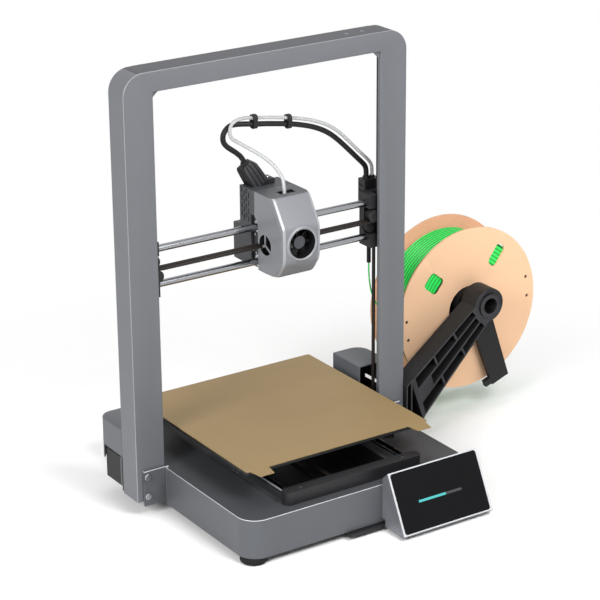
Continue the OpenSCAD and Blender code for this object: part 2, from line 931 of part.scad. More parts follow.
// Helix of the outer layer: one point every 15 degrees
wind_y0 = spool_y0 + flange_t + filament_d / 2 + 0.3;
wind_route = [
    for (i = [0:wind_turns * wind_steps])
        let (a = 360 * i / wind_steps)
            [spool_x + wind_r * cos(a), wind_y0 + wind_pitch * i / wind_steps,
             spool_z + wind_r * sin(a)]
];
wind_gap = min([for (i = [0:wind_steps]) norm(wind_route[i] - wind_route[wind_steps])
                    + (i > wind_steps / 2 ? 99 : 0)]) - filament_d;
echo(least_gap_between_turns = wind_gap);

module filament_winding() {
    color("limegreen")
        tube_along(wind_route, filament_d / 2, 6);
}

// The layers under the outer one, as a plain ring
module winding_core() {
    color("limegreen")
        difference() {
            rod_y(core_r, spool_x, spool_z, spool_y0 + flange_t + seat_gap,
                  spool_y1 - flange_t - seat_gap);
            rod_y(hub_r + seat_gap, spool_x, spool_z, spool_y0, spool_y1);
        }
}

module power_inlet() {
    w = inlet_w - 2 * seat_gap;
    h = inlet_h - 2 * seat_gap;
    color("black")
        difference() {
            union() {
                box(inlet_x - w / 2, inlet_x + w / 2, base_rear - 22, base_rear + 0.1,
                    inlet_z - h / 2, inlet_z + h / 2);
                along_y(base_rear, base_rear + 2)
                    round_rect(inlet_x - inlet_w / 2 - 2, inlet_x + inlet_w / 2 + 2,
                               inlet_z - inlet_h / 2 - 1.5, inlet_z + inlet_h / 2 + 1.5, 2);
            }
            along_y(base_rear - 17, base_rear + 2 + over)
                round_rect(inlet_x - 11.5, inlet_x + 11.5, inlet_z - 7.5, inlet_z + 7.5, 2);
        }
}

switch_tilt = 8;

module power_switch() {
    w = switch_w - 2;
    h = switch_h - 1.2;
    pin_end = 0.6 - pass_gap;
    color("black")
        translate([inlet_x, base_rear - 2, switch_z])
            rotate([0, 0, switch_tilt])
                translate([0, 0, -h / 2]) {
                    linear_extrude(h)
                        polygon([[-w / 2, -4], [w / 2, -4], [w / 2, 2.6], [0, 1.2], [-w / 2, 2.6]]);
                    translate([0, 0, -pin_end])
                        cylinder(r = 1.1, h = h + 2 * pin_end);
                }
}

psu_x = [-rear_half + base_wall + 4, -trough_half - base_wall - 2];
psu_y = [-110, 60];

module power_unit() {
    color("silver")
        difference() {
            box(psu_x[0], psu_x[1], psu_y[0], psu_y[1], base_bottom + cover_t, base_top - 8);
            for (k = [0:6])
                box(psu_x[0] + 5 + 6 * k, psu_x[0] + 8 + 6 * k, psu_y[0] + 20, psu_y[1] - 40,
                    base_top - 9.5, base_top - 7);
        }
}

board_x = [trough_half + base_wall + 3, rear_half - base_wall - 3];
board_y = [-70, 50];

module control_board() {
    z = base_bottom + cover_t;
    color("darkgreen") {
        for (x = [board_x[0] + 4, board_x[1] - 4], y = [board_y[0] + 4, board_y[1] - 4])
            translate([x, y, z])
                cylinder(r = 3, h = 5);
        box(board_x[0], board_x[1], board_y[0], board_y[1], z + 5, z + 6.6);
        for (k = [0:3])
            box(board_x[0] + 8, board_x[0] + 22, board_y[0] + 12 + 26 * k, board_y[0] + 26 + 26 * k,
                z + 6.6, z + 17);
        box(board_x[1] - 20, board_x[1] - 6, board_y[0] + 30, board_y[0] + 80, z + 6.6, z + 14);
    }
}

module electronics() {
    power_unit();
    control_board();
}

tab_w = 23;
tab_d = 16;

module flex_plate() {
    color("tan")
        translate([0, bed_y, heater_top]) {
            linear_extrude(plate_t)
                round_rect(-plate_half, plate_half, -plate_half, plate_half, 3);
            for (s = [-1, 1])
                translate([s * (plate_half - 4 - tab_w / 2), -plate_half, 0])
                    linear_extrude(plate_t)
                        polygon([[3 - tab_w / 2, -tab_d], [tab_w / 2 - 3, -tab_d], [tab_w / 2, over],
                                 [-tab_w / 2, over]]);
        }
}

module heated_bed() {
    color("#222222") {
        translate([0, bed_y, heater_bottom])
            linear_extrude(heater_t)
                round_rect(-plate_half + 1, plate_half - 1, -plate_half + 1, plate_half - 1, 3);
        box(30, 56, bed_y + plate_half - 20, bed_y + plate_half - 1, heater_bottom - 7,
            heater_bottom);
    }
}

arm_w = 26;
sled_d = y_bearing_l + 15;
sled_hole_x = (y_rod_x - 9) / 2;
sled_hole_r = 16;

// Cross-shaped sled with a saddle over each bearing and the belt clamp under its middle
module bed_carriage() {
    color("dimgray") {
        translate([0, bed_y, carriage_z])
            linear_extrude(carriage_t)
                difference() {
                    union() {
                        square([2 * y_rod_x + 24, sled_d], center = true);
                        for (a = [45, -45])
                            rotate(a)
                                square([2 * spacer_at * sqrt(2) + 22, arm_w], center = true);
                    }
                    for (s = [-1, 1])
                        translate([sled_hole_x * s, 0])
                            circle(sled_hole_r);
                }
        difference() {
            both_sides()
                box(y_rod_x - 11, y_rod_x + 11, bed_y - y_bearing_l / 2 + 1,
                    bed_y + y_bearing_l / 2 - 1, y_rod_z, carriage_z);
            for (s = [-1, 1])
                rod_y(bearing_r + run_gap, s * y_rod_x, y_rod_z, bed_y - y_bearing_l,
                      bed_y + y_bearing_l);
        }
        difference() {
            box(-6, 6, bed_y - 5, bed_y + 5, y_drive_z + wrap_in - 3, carriage_z);
            box(-belt_w / 2 - pass_gap, 7, bed_y - 6, bed_y + 6, y_drive_z + wrap_in - pass_gap,
                y_drive_z + wrap_out + pass_gap);
        }
    }
}

module y_bearings() {
    color("silver")
        both_sides()
            difference() {
                rod_y(bearing_r, y_rod_x, y_rod_z, bed_y - y_bearing_l / 2, bed_y + y_bearing_l / 2);
                rod_y(rod_r + run_gap, y_rod_x, y_rod_z, bed_y - y_bearing_l, bed_y + y_bearing_l);
            }
}

module bed_spacers() {
    color("black")
        for (sx = [-1, 1], sy = [-1, 1])
            translate([sx * spacer_at, bed_y + sy * spacer_at, carriage_z + carriage_t])
                cylinder(r = spacer_r, h = heater_bottom - carriage_z - carriage_t);
}

rod_end = x_end_out - 1;

module x_rods() {
    color("gainsboro")
        for (z = x_rod_z)
            rod_x(rod_r, x_rod_y, z, -rod_end, rod_end);
}

// Right X end: two rod bosses and the Z sleeve on a rear web, with both idler axles
module x_end(lower_front) {
    boss_h = x_end_half_h - (x_rod_gap / 2 - rod_r - 1);
    difference() {
        union() {
            box(x_span_half, sleeve_out, web_front, x_end_back, gantry_z - x_end_half_h,
                gantry_z + x_end_half_h);
            for (z = [gantry_z + x_end_half_h - boss_h, gantry_z - x_end_half_h])
                box(x_span_half, x_end_out, x_end_front, x_end_back, z, z + boss_h);
            box(sleeve_in, sleeve_out, z_rod_y - z_rod_r - 3, x_end_back, gantry_z - x_end_half_h,
                gantry_z + x_end_half_h);
            rod_y(axle_r, idler_in_x, x_idler_z[0], lower_front ? plane_a : plane_b, web_front + 1);
            rod_y(axle_r, idler_in_x, x_idler_z[1], lower_front ? plane_b : plane_a, web_front + 1);
        }
        for (z = x_rod_z)
            rod_x(rod_r + run_gap, x_rod_y, z, x_span_half - over, rod_end);
        translate([z_rod_x, z_rod_y, gantry_z - x_end_half_h - over])
            cylinder(r = z_rod_r + run_gap, h = 2 * (x_end_half_h + over));
    }
}

guide_x = 147;
guide_y = 27;
guide_l = 24;

module x_end_left() {
    color("#2b2b2d")
        mirror([1, 0, 0])
            x_end(true);
}

module x_end_right() {
    color("#2b2b2d") {
        x_end(false);
        translate([guide_x, guide_y, gantry_z - x_end_half_h - guide_l])
            difference() {
                cylinder(r = 2.4, h = guide_l);
                translate([0, 0, -over])
                    cylinder(r = filament_d / 2 + 0.2, h = guide_l);
            }
    }
}

// Two flat strands side by side, each turned round an idler at both ends
module x_belt_run() {
    wrap(-idler_in_x, x_idler_z[0], 90, 180);
    translate([-idler_in_x, gantry_z - belt_t / 2])
        square([2 * idler_in_x, belt_t]);
    wrap(idler_in_x, x_idler_z[1], 270, 360);
}

module x_belts() {
    color("#33261f") {
        along_y(plane_a + belt_in, plane_a + belt_in + belt_w)
            x_belt_run();
        mirror([1, 0, 0])
            along_y(plane_b + belt_in, plane_b + belt_in + belt_w)
                x_belt_run();
    }
}

module x_idler_left_lower() {
    color("silver")
        pulley_y(-idler_in_x, x_idler_z[0], plane_a, 0);
}

module x_idler_left_upper() {
    color("silver")
        pulley_y(-idler_in_x, x_idler_z[1], plane_b, 0);
}

module x_idler_right_lower() {
    color("silver")
        pulley_y(idler_in_x, x_idler_z[0], plane_b, 0);
}

module x_idler_right_upper() {
    color("silver")
        pulley_y(idler_in_x, x_idler_z[1], plane_a, 0);
}

sensor_x = [144, 165];
sensor_z = [gantry_z + 14, gantry_z + 42];
sensor_d = 13;

module filament_sensor() {
    color("#2b2b2d") {
        difference() {
            box(sensor_x[0], sensor_x[1], x_end_back, x_end_back + sensor_d, sensor_z[0],
                sensor_z[1]);
            for (k = [0:2])
                box(sensor_x[0] - over, sensor_x[0] + 1, x_end_back + 2, x_end_back + sensor_d - 2,
                    sensor_z[0] + 6 + 7 * k, sensor_z[0] + 8 + 7 * k);
        }
        for (p = [[150, harness_r], [158, tube_r]])
            translate([p[0], 37, sensor_z[1]])
                cylinder(r = p[1] + 1, h = 3);
    }
}

module filament_strand() {
    color("limegreen")
        tube_along(strand_route, filament_d / 2, 8);
}

// Plan of the shroud: square at the back, with round front corners
module shroud_plan(inset) {
    r = 9 - inset;
    x0 = head_x0 + inset;
    x1 = head_x1 - inset;
    y0 = -head_front + inset;
    translate([x0, y0 + r])
        square([x1 - x0, 80]);
    translate([x0 + r, y0])
        square([x1 - x0 - 2 * r, 80]);
    for (x = [x0 + r, x1 - r])
        translate([x, y0 + r])
            circle(r);
}

// Side view of the shroud, its brow sloping back to the top and its chin to the bottom
module shroud_side(inset) {
    y0 = -head_front + inset;
    polygon([[neck_y, head_top - inset], [-14 + inset * 0.6, head_top - inset], [y0, gantry_z + 29],
             [y0, head_bottom + 20], [-16 + inset * 0.6, head_bottom + inset],
             [shroud_back, head_bottom + inset], [shroud_back, gantry_z + 25],
             [neck_y, neck_z]]);
}

vent_y = 1;
vent_z = gantry_z + 4;
vent_r = 11.5;

module tri_vent() {
    difference() {
        circle(vent_r);
        for (a = [90, 210, 330])
            rotate(a)
                translate([0, -1.5])
                    square([vent_r + over, 3]);
    }
}

module head_shroud() {
    color("lightgray") {
        difference() {
            intersection() {
                along_x(head_x0, head_x1)
                    shroud_side(0);
                translate([0, 0, head_bottom])
                    linear_extrude(head_top - head_bottom)
                        shroud_plan(0);
            }
            intersection() {
                along_x(head_x0 + shell_t, head_x1 - shell_t)
                    union() {
                        shroud_side(shell_t);
                        translate([head_y - 12, head_bottom - over])
                            square([40, 12]);
                        translate([shroud_back - over, head_bottom - over])
                            square([10, head_top - head_bottom - shell_t]);
                    }
                translate([0, 0, head_bottom - over])
                    linear_extrude(head_top - head_bottom + 2 * over)
                        shroud_plan(shell_t);
            }
            rod_y(fan_r, head_x, fan_z, -head_front - over, fan_y0 + 0.1);
            along_x(head_x0 - over, head_x1 + over)
                translate([vent_y, vent_z])
                    tri_vent();
            box(head_x - 7, head_x + 12, head_y - 4, head_y + 6, head_top - shell_t - over, head_top + over);
            box(head_x0 - over, head_x1 + over, plane_a - 0.6, x_rod_y, gantry_z - 2, gantry_z + 2);
        }
        translate([head_x, -head_front, fan_z])
            rotate([90, 0, 0])
                rotate_extrude()
                    translate([fan_r, 0])
                        polygon([[0, -shell_t], [3.2, -shell_t], [3.2, 0], [1.6, 1.4], [0, 0.6]]);
        difference() {
            rod_y(fan_r + 1.2, head_x, fan_z, -head_front + 1, fan_y0 - seat_gap / 2);
            rod_y(fan_r, head_x, fan_z, -head_front, fan_y0);
        }
    }
}

slot_y0 = rear_y0 + 3.7;
slot_w = 1.6;
slot_h = 6;
slot_pitch = 4.5;
slot_rise = 9;

module rear_side(inset) {
    polygon([[neck_y + neck_gap + inset, head_top - inset], [rear_y1 - inset, head_top - inset],
             [rear_y1 - inset, bulge_top + 2 - inset], [bulge_y1 - inset, bulge_top - inset],
             [bulge_y1 - inset, head_bottom + 0.5 + inset], [rear_y0 + inset, head_bottom + 0.5 + inset],
             [rear_y0 + inset, neck_z + inset], [neck_y + neck_gap + inset, neck_z + inset]]);
}

module head_rear_cover() {
    color("dimgray")
        difference() {
            along_x(head_x0, head_x1)
                rear_side(0);
            along_x(head_x0 + shell_t, head_x1 - shell_t)
                rear_side(shell_t);
            box(head_x0 + shell_t, head_x1 - shell_t, neck_y, neck_y + neck_gap + 2 * shell_t, neck_z + 1,
                head_top - shell_t);
            for (i = [0:3], k = [0:3])
                translate([head_x0 - over, slot_y0 + slot_pitch * i,
                           head_top - 38 + slot_rise * k + 4 * (i % 2)])
                    cube([head_w + 2 * over, slot_w, slot_h]);
        }
}

// Bearing block with the belt passage, and the feeder tower above it
module head_carriage() {
    color("#2b2b2d")
        difference() {
            union() {
                box(head_x - block_half, head_x + block_half, block_front, block_back,
                    head_bottom + 1, gantry_z + 30.5);
                box(head_x - 14, head_x + 14, head_y - 7, tower_back, gantry_z + 26,
                    head_top - shell_t - seat_gap);
            }
            for (z = x_rod_z)
                rod_x(bearing_r + run_gap, x_rod_y, z, head_x - head_w, head_x + head_w);
            box(head_x - head_w, head_x + head_w, plane_a - 0.6, plane_b + pulley_w + 0.6,
                gantry_z - 2, gantry_z + 2);
            translate([head_x, head_y, gantry_z])
                cylinder(r = filament_d / 2 + 0.4, h = head_rise);
            rod_y(gear_r + 1, gear_x, gear_z, head_y - 8, head_y + 5);
            rod_y(axle_r + 0.5, gear_x, gear_z, head_y - 8, 24);
        }
}

module x_bearings() {
    l = block_half - 0.5;
    color("silver")
        for (z = x_rod_z, s = [-1, 0])
            difference() {
                rod_x(bearing_r, x_rod_y, z, head_x + s * (l + 0.3) + 0.15,
                      head_x + s * (l + 0.3) + 0.15 + l);
                rod_x(rod_r + run_gap, x_rod_y, z, head_x - head_w, head_x + head_w);
            }
}

feed_motor_y = rear_y0 + shell_t + pass_gap;
feed_motor_l = 18;

module extruder_motor() {
    color("#2b2b2d") {
        rod_y(feed_motor_r, gear_x + 3, gear_z - 2, feed_motor_y, feed_motor_y + feed_motor_l);
        rod_y(axle_r, gear_x, gear_z, head_y - 4.5, feed_motor_y);
        rod_y(6, gear_x, gear_z, tower_back, feed_motor_y);
    }
}

module feed_gear() {
    n = 16;
    color("silver")
        translate([gear_x, head_y + 4, gear_z])
            rotate([90, 0, 0])
                difference() {
                    cylinder(r = gear_r, h = 8);
                    translate([0, 0, -over])
                        cylinder(r = axle_r + run_gap, h = 10);
                    for (k = [0:n - 1])
                        rotate(360 * (k + 0.5) / n)
                            translate([gear_r, 0, -over])
                                cylinder(r = 0.7, h = 10, $fn = 16);
                }
}

sink_r = plane_a + belt_in - head_y - 2 * pass_gap;
sink_z0 = head_bottom + 20;
fins = 7;

module hotend() {
    color("silver") {
        translate([head_x, head_y, 0])
            rotate_extrude()
                polygon(concat(
                    [[1.2, sink_z0 - 6]],
                    [[2, sink_z0 - 6], [2, sink_z0]],
                    [for (k = [0:fins - 1]) each [
                        [sink_r, sink_z0 + 4.4 * k], [sink_r, sink_z0 + 4.4 * k + 2],
                        [4, sink_z0 + 4.4 * k + 2], [4, sink_z0 + 4.4 * k + 4.4]]],
                    [[4, gantry_z + 26 - seat_gap], [1.2, gantry_z + 26 - seat_gap]]));
        difference() {
            box(head_x - 8, head_x + 10, head_y - 7, head_y + 7, sink_z0 - 17, sink_z0 - 6);
            translate([head_x, head_y, sink_z0 - 20])
                cylinder(r = 1.2, h = 20);
        }
    }
}

module nozzle() {
    top = sink_z0 - 17;
    color("goldenrod")
        translate([head_x, head_y, 0])
            rotate_extrude()
                polygon([[0.2, nozzle_tip], [0.6, nozzle_tip], [2.6, nozzle_tip + 2.2],
                         [3.4, nozzle_tip + 2.2], [3.4, top], [0.2, top]]);
}

fan_pin_r = 1.5;

module fan_frame() {
    h = fan_s / 2;
    color("#1c1c1e")
        difference() {
            union() {
                along_y(fan_y0, fan_y0 + fan_t)
                    difference() {
                        translate([head_x, fan_z])
                            round_rect(-h, h, -h, h, 3);
                        translate([head_x, fan_z])
                            circle(fan_r);
                    }
                along_y(fan_y0 + fan_t - 1.2, fan_y0 + fan_t)
                    translate([head_x, fan_z]) {
                        circle(7);
                        for (a = [45, 165, 285])
                            rotate(a)
                                translate([0, -1])
                                    square([fan_r + 0.5, 2]);
                    }
                rod_y(fan_pin_r, head_x, fan_z, fan_y0 + 3, fan_y0 + fan_t);
            }
        }
}

blades = 7;

module fan_rotor() {
    hub = 7.2;
    span = fan_r - 0.7;
    color("#2a2a2c")
        difference() {
            union() {
                rod_y(hub, head_x, fan_z, fan_y0 + 1, fan_y0 + fan_t - 1.5);
                for (k = [0:blades - 1])
                    translate([head_x, fan_y0 + 4.8, fan_z])
                        rotate([0, 360 * k / blades, 0])
                            intersection() {
                                translate([0, 0, span / 2])
                                    rotate([0, 0, 40])
                                        cube([7.5, 1, span - 0.8], center = true);
                                rotate([90, 0, 0])
                                    cylinder(r = span, h = 10, center = true);
                            }
            }
            rod_y(fan_pin_r + run_gap, head_x, fan_z, fan_y0 + 2.5, fan_y0 + fan_t);
        }
}

plug_x = 4;
plug_y = 42;
plug_lean = -32;

plug_w = 20;
plug_d = 18;
plug_rib = 5.6;
plug_slim = 1.4;

// One block of the plug's ribbed boot, narrower with each rib
module plug_block(k, inset, h) {
    w = (plug_w - plug_slim * k) / 2 - inset;
    d = (plug_d - plug_slim * k) / 2 - inset;
    translate([0, 0, plug_rib * k])
        linear_extrude(h)
            round_rect(-w, w, -d, d, 2);
}

// Moulded cable plug: a foot on the rear cover and a ribbed boot that leans with the cable
module cable_plug() {
    color("#1c1c1e") {
        box(plug_x - 7, plug_x + 22, plug_y - 8, plug_y + 8, head_top, head_top + 6);
        intersection() {
            box(plug_x - 60, plug_x + 60, plug_y - 20, plug_y + 20, head_top, head_top + 60);
            translate([plug_x, plug_y, head_top + 7])
                rotate([0, plug_lean, 0]) {
                    translate([0, 0, -12])
                        plug_block(0, 0, 12 + plug_rib - 2);
                    for (k = [0:3]) {
                        plug_block(k, 0, plug_rib - 2);
                        plug_block(k, 1.2, plug_rib);
                    }
                    cylinder(r = harness_r + 1.4, h = 4 * plug_rib + 2.8);
                }
        }
    }
}

module harness_cable() {
    color("#151515")
        tube_along(harness_route, harness_r, 10);
}

module feed_tube() {
    color("white")
        tube_along(tube_route, tube_r, 8);
}

clip_at = [[3, 39.5, 406.5, 413.5], [47, 39, 399.5, 406.5]];
clip_ease = 0.8;

// A figure-eight clip holds the tube above the cable
module cable_clips() {
    color("black")
        for (c = clip_at)
            translate([c[0], c[1], 0])
                along_x(-2.5, 2.5)
                    difference() {
                        round_rect(-5, 5, c[2] - 5, c[3] + 4, 4);
                        translate([0, c[2]])
                            circle(harness_r + clip_ease);
                        translate([0, c[3]])
                            circle(tube_r + clip_ease);
                    }
}

base_shell();
base_cover();
feet();
wing_screws();
portal_frame();
z_rods();
z_rod_clamps();
stepper_motors();
motor_covers();
drive_belts();
y_rods();
y_rod_ends();
y_belt();
screen_housing();
screen_glass();
spool_arm();
spool_rod();
power_inlet();
power_switch();
electronics();
motor_pulley_left();
motor_pulley_right();
top_idler_left_outer();
top_idler_left_inner();
top_idler_right_outer();
top_idler_right_inner();
y_pulley();
y_idler();
flex_plate();
heated_bed();
bed_carriage();
y_bearings();
bed_spacers();
x_rods();
x_end_left();
x_end_right();
x_belts();
x_idler_left_lower();
x_idler_left_upper();
x_idler_right_lower();
x_idler_right_upper();
filament_sensor();
filament_strand();
head_shroud();
head_rear_cover();
head_carriage();
x_bearings();
extruder_motor();
feed_gear();
hotend();
nozzle();
fan_frame();
fan_rotor();
cable_plug();
harness_cable();
feed_tube();
cable_clips();
spool();
winding_core();
filament_winding();
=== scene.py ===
import json
import math

import bmesh
import bpy
from mathutils import Matrix, Vector
from mathutils.bvhtree import BVHTree


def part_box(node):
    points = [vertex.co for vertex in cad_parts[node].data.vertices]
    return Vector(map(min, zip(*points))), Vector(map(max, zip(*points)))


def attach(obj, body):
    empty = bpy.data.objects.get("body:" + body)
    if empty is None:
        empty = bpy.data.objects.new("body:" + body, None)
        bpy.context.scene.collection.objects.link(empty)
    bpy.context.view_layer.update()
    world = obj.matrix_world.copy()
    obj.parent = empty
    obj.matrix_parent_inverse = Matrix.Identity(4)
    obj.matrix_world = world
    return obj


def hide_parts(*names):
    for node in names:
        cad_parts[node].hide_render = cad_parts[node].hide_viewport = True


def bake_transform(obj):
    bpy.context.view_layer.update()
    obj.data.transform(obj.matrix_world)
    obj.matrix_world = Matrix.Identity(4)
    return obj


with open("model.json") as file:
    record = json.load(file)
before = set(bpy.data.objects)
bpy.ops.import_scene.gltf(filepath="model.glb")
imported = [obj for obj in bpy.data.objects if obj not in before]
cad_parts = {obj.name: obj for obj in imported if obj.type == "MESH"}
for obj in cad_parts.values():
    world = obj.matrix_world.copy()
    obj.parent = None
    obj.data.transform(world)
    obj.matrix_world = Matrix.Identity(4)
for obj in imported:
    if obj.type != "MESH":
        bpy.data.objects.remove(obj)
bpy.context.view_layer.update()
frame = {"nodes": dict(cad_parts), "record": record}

# What the frame says about each node
NODES = frame["nodes"]
RECORD = frame["record"]
BODY_OF = {n: body for body, group in RECORD["behaviour"]["bodies"].items() for n in group}
SLOT_OF = {part["node"]: part["material_slot"] for part in RECORD["subparts"]}
JOINT = {joint["name"]: joint for joint in RECORD["behaviour"]["joints"]}
MM = 0.001


def span(node):
    """Lowest corner, highest corner and middle of a CAD node."""
    low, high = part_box(node)
    return low, high, (low + high) / 2


def point_mm(x, y, z):
    return Vector((x, y, z)) * MM


# Colours

def srgb(red, green, blue):
    """Linear colour of an 8-bit screen colour."""
    def channel(value):
        value /= 255
        return value / 12.92 if value < 0.04 else ((value + 0.055) / 1.055) ** 2.4
    return (channel(red), channel(green), channel(blue), 1.0)


# Shader nodes and groups shared by the materials

def shader_group(name, inputs, outputs):
    """A node group, with the sockets that feed it and the sockets that it fills."""
    group = bpy.data.node_groups.new(name, "ShaderNodeTree")
    for label, kind, value in inputs:
        socket = group.interface.new_socket(label, in_out="INPUT", socket_type=kind)
        socket.default_value = value
    for label, kind in outputs:
        group.interface.new_socket(label, in_out="OUTPUT", socket_type=kind)
    return group, group.nodes.new("NodeGroupInput").outputs, group.nodes.new("NodeGroupOutput").inputs


def add_node(tree, kind, links=(), **settings):
    """A node with its plain settings, and its inputs set to values or linked to sockets."""
    node = tree.nodes.new(kind)
    for key, value in settings.items():
        setattr(node, key, value)
    for key, value in links:
        if isinstance(value, bpy.types.NodeSocket):
            tree.links.new(value, node.inputs[key])
        else:
            node.inputs[key].default_value = value
    return node


def maths(tree, operation, *values):
    """The result of a math node fed with values or sockets."""
    return add_node(tree, "ShaderNodeMath", operation=operation, links=enumerate(values)).outputs[0]


def vectors(tree, operation, *values):
    """A vector math node fed with values or sockets."""
    return add_node(tree, "ShaderNodeVectorMath", operation=operation, links=enumerate(values))


def scaled(tree, colour, factor):
    """A colour made lighter or darker."""
    return add_node(tree, "ShaderNodeVectorMath", operation="SCALE", links=[
        (0, colour), ("Scale", factor)]).outputs[0]


def map_range(tree, value, source, target, **settings):
    """A value carried from one range to another."""
    return add_node(tree, "ShaderNodeMapRange", links=[
        ("Value", value), ("From Min", source[0]), ("From Max", source[1]),
        ("To Min", target[0]), ("To Max", target[1])], **settings).outputs["Result"]


def object_place(tree):
    return add_node(tree, "ShaderNodeTexCoord").outputs["Object"]


def noise_value(tree, where, scale, detail):
    return add_node(tree, "ShaderNodeTexNoise", links=[
        ("Vector", where), ("Scale", scale), ("Detail", detail)]).outputs["Fac"]


def bump_normal(tree, height, distance):
    return add_node(tree, "ShaderNodeBump", links=[
        ("Height", height), ("Distance", distance)]).outputs["Normal"]


def stretched_noise(tree, given, detail):
    """Noise over the object, drawn out by a group's stretch."""
    drawn = vectors(tree, "MULTIPLY", object_place(tree), given["Stretch"])
    return noise_value(tree, drawn.outputs[0], given["Scale"], detail)


def ridges(tree, distance, pitch):
    """A value that runs up and down once over each pitch."""
    return maths(tree, "PINGPONG", maths(tree, "DIVIDE", distance, pitch), 0.5)


FLOAT, COLOUR, VECTOR = "NodeSocketFloat", "NodeSocketColor", "NodeSocketVector"
EVEN = (1, 1, 1)
MID_GREY = (0.5, 0.5, 0.5, 1)


def make_grain_group():
    """Fine surface grain: a bump normal and the noise behind it."""
    group, given, result = shader_group(
        "surface_grain",
        [("Scale", FLOAT, 800.0), ("Height", FLOAT, 0.00004), ("Stretch", VECTOR, EVEN)],
        [("Normal", VECTOR), ("Noise", FLOAT)])
    noise = stretched_noise(group, given, 4.0)
    group.links.new(bump_normal(group, noise, given["Height"]), result["Normal"])
    group.links.new(noise, result["Noise"])
    return group


def make_tone_group():
    """Slow drift of a colour over the surface, with edges painted lighter: a painted highlight that also
    stands for slight wear.
    """
    group, given, result = shader_group(
        "tone_and_edges",
        [("Color", COLOUR, MID_GREY), ("Scale", FLOAT, 30.0), ("Drift", FLOAT, 0.06), ("Edge", FLOAT, 0.15)],
        [("Color", COLOUR)])
    noise = noise_value(group, object_place(group), given["Scale"], 3.0)
    drift = maths(group, "MULTIPLY_ADD", maths(group, "SUBTRACT", noise, 0.5), given["Drift"], 1.0)
    shape = add_node(group, "ShaderNodeNewGeometry")
    edge = map_range(group, shape.outputs["Pointiness"], (0.52, 0.62), (0.0, given["Edge"]))
    toned = scaled(group, given["Color"], maths(group, "ADD", drift, edge))
    group.links.new(toned, result["Color"])
    return group


def make_fleck_group():
    """Two colours mixed in small flecks."""
    group, given, result = shader_group(
        "flecks",
        [("Color", COLOUR, MID_GREY), ("Fleck", COLOUR, (0.8, 0.8, 0.8, 1)), ("Scale", FLOAT, 1500.0),
         ("Share", FLOAT, 0.5), ("Stretch", VECTOR, EVEN)],
        [("Color", COLOUR)])
    share = map_range(group, stretched_noise(group, given, 2.0), (0.42, 0.62), (0.0, given["Share"]))
    mixed = add_node(group, "ShaderNodeMix", data_type="RGBA", links=[
        (0, share), (6, given["Color"]), (7, given["Fleck"])])
    group.links.new(mixed.outputs[2], result["Color"])
    return group


GRAIN = make_grain_group()
TONE = make_tone_group()
FLECKS = make_fleck_group()


def surface(name, colour, rough, metal=0.0, grain=(900, 0.00003), stretch=EVEN, drift=0.08,
            edge=0.12, rough_spread=0.12, coat=0.0, shine=0.5, fleck=None):
    """A material with grain, drifting tone, edges painted lighter as a painted highlight and slight wear, and
    uneven roughness.
    """
    material = bpy.data.materials.new(name)
    material.use_nodes = True
    tree = material.node_tree
    shader = tree.nodes["Principled BSDF"]
    tone = add_node(tree, "ShaderNodeGroup", name="tone", node_tree=TONE, links=[
        ("Color", srgb(*colour)), ("Drift", drift), ("Edge", edge)])
    if fleck:
        flecks = add_node(tree, "ShaderNodeGroup", node_tree=FLECKS, links=[
            ("Color", srgb(*colour)), ("Fleck", srgb(*fleck[0])), ("Scale", fleck[1]),
            ("Share", fleck[2]), ("Stretch", stretch)])
        tree.links.new(flecks.outputs["Color"], tone.inputs["Color"])
    texture = add_node(tree, "ShaderNodeGroup", node_tree=GRAIN, links=[
        ("Scale", grain[0]), ("Height", grain[1]), ("Stretch", stretch)])
    spread = map_range(tree, texture.outputs["Noise"], (0.3, 0.7),
                       (rough - rough_spread / 2, rough + rough_spread / 2))
    tree.links.new(tone.outputs["Color"], shader.inputs["Base Color"])
    tree.links.new(spread, shader.inputs["Roughness"])
    tree.links.new(texture.outputs["Normal"], shader.inputs["Normal"])
    for socket, value in (("Metallic", metal), ("Coat Weight", coat), ("Coat Roughness", 0.2),
                          ("Specular IOR Level", shine)):
        shader.inputs[socket].default_value = value
    return material


def glow(name, colour):
    """A lit area of the display, a little uneven like a backlight."""
    material = surface(name, colour, 0.3, grain=(400, 0.000005), drift=0.1, edge=0.0)
    tree = material.node_tree
    shader = tree.nodes["Principled BSDF"]
    tree.links.new(tree.nodes["tone"].outputs["Color"], shader.inputs["Emission Color"])
    tree.links.remove(shader.inputs["Base Color"].links[0])
    shader.inputs["Base Color"].default_value = srgb(12, 12, 13)
    shader.inputs["Emission Strength"].default_value = 1.0
    return material


def shade_colour(material, shade):
    """Darkens a material's colour by the value of a socket, as painted shade."""
    tree = material.node_tree
    shaded = scaled(tree, tree.nodes["tone"].outputs["Color"], shade)
    tree.links.new(shaded, tree.nodes["Principled BSDF"].inputs["Base Color"])


def strand_material(name, colour, centre, pitch):
    """Filament seen on the side of its winding: round strands about Y, with painted shade in the valleys."""
    material = surface(name, colour, 0.35, drift=0.1)
    tree = material.node_tree
    offset = vectors(tree, "SUBTRACT", object_place(tree), centre)
    flat = vectors(tree, "MULTIPLY", offset.outputs[0], (1, 0, 1))
    wave = ridges(tree, vectors(tree, "LENGTH", flat.outputs[0]).outputs["Value"], pitch)
    shade_colour(material, map_range(tree, wave, (0.0, 0.3), (0.25, 1.0)))
    tree.links.new(bump_normal(tree, wave, 0.0006), tree.nodes["Principled BSDF"].inputs["Normal"])
    return material


def turns_material(name, colour, start, pitch):
    """Filament on the outside of its winding: turns along Y, with painted shade where two of them meet."""
    material = surface(name, colour, 0.34, grain=(900, 0.00001), coat=0.15)
    tree = material.node_tree
    axes = add_node(tree, "ShaderNodeSeparateXYZ", links=[(0, object_place(tree))])
    along = maths(tree, "SUBTRACT", axes.outputs["Y"], start)
    shade_colour(material, map_range(tree, ridges(tree, along, pitch), (0.02, 0.24), (0.22, 1.0)))
    return material


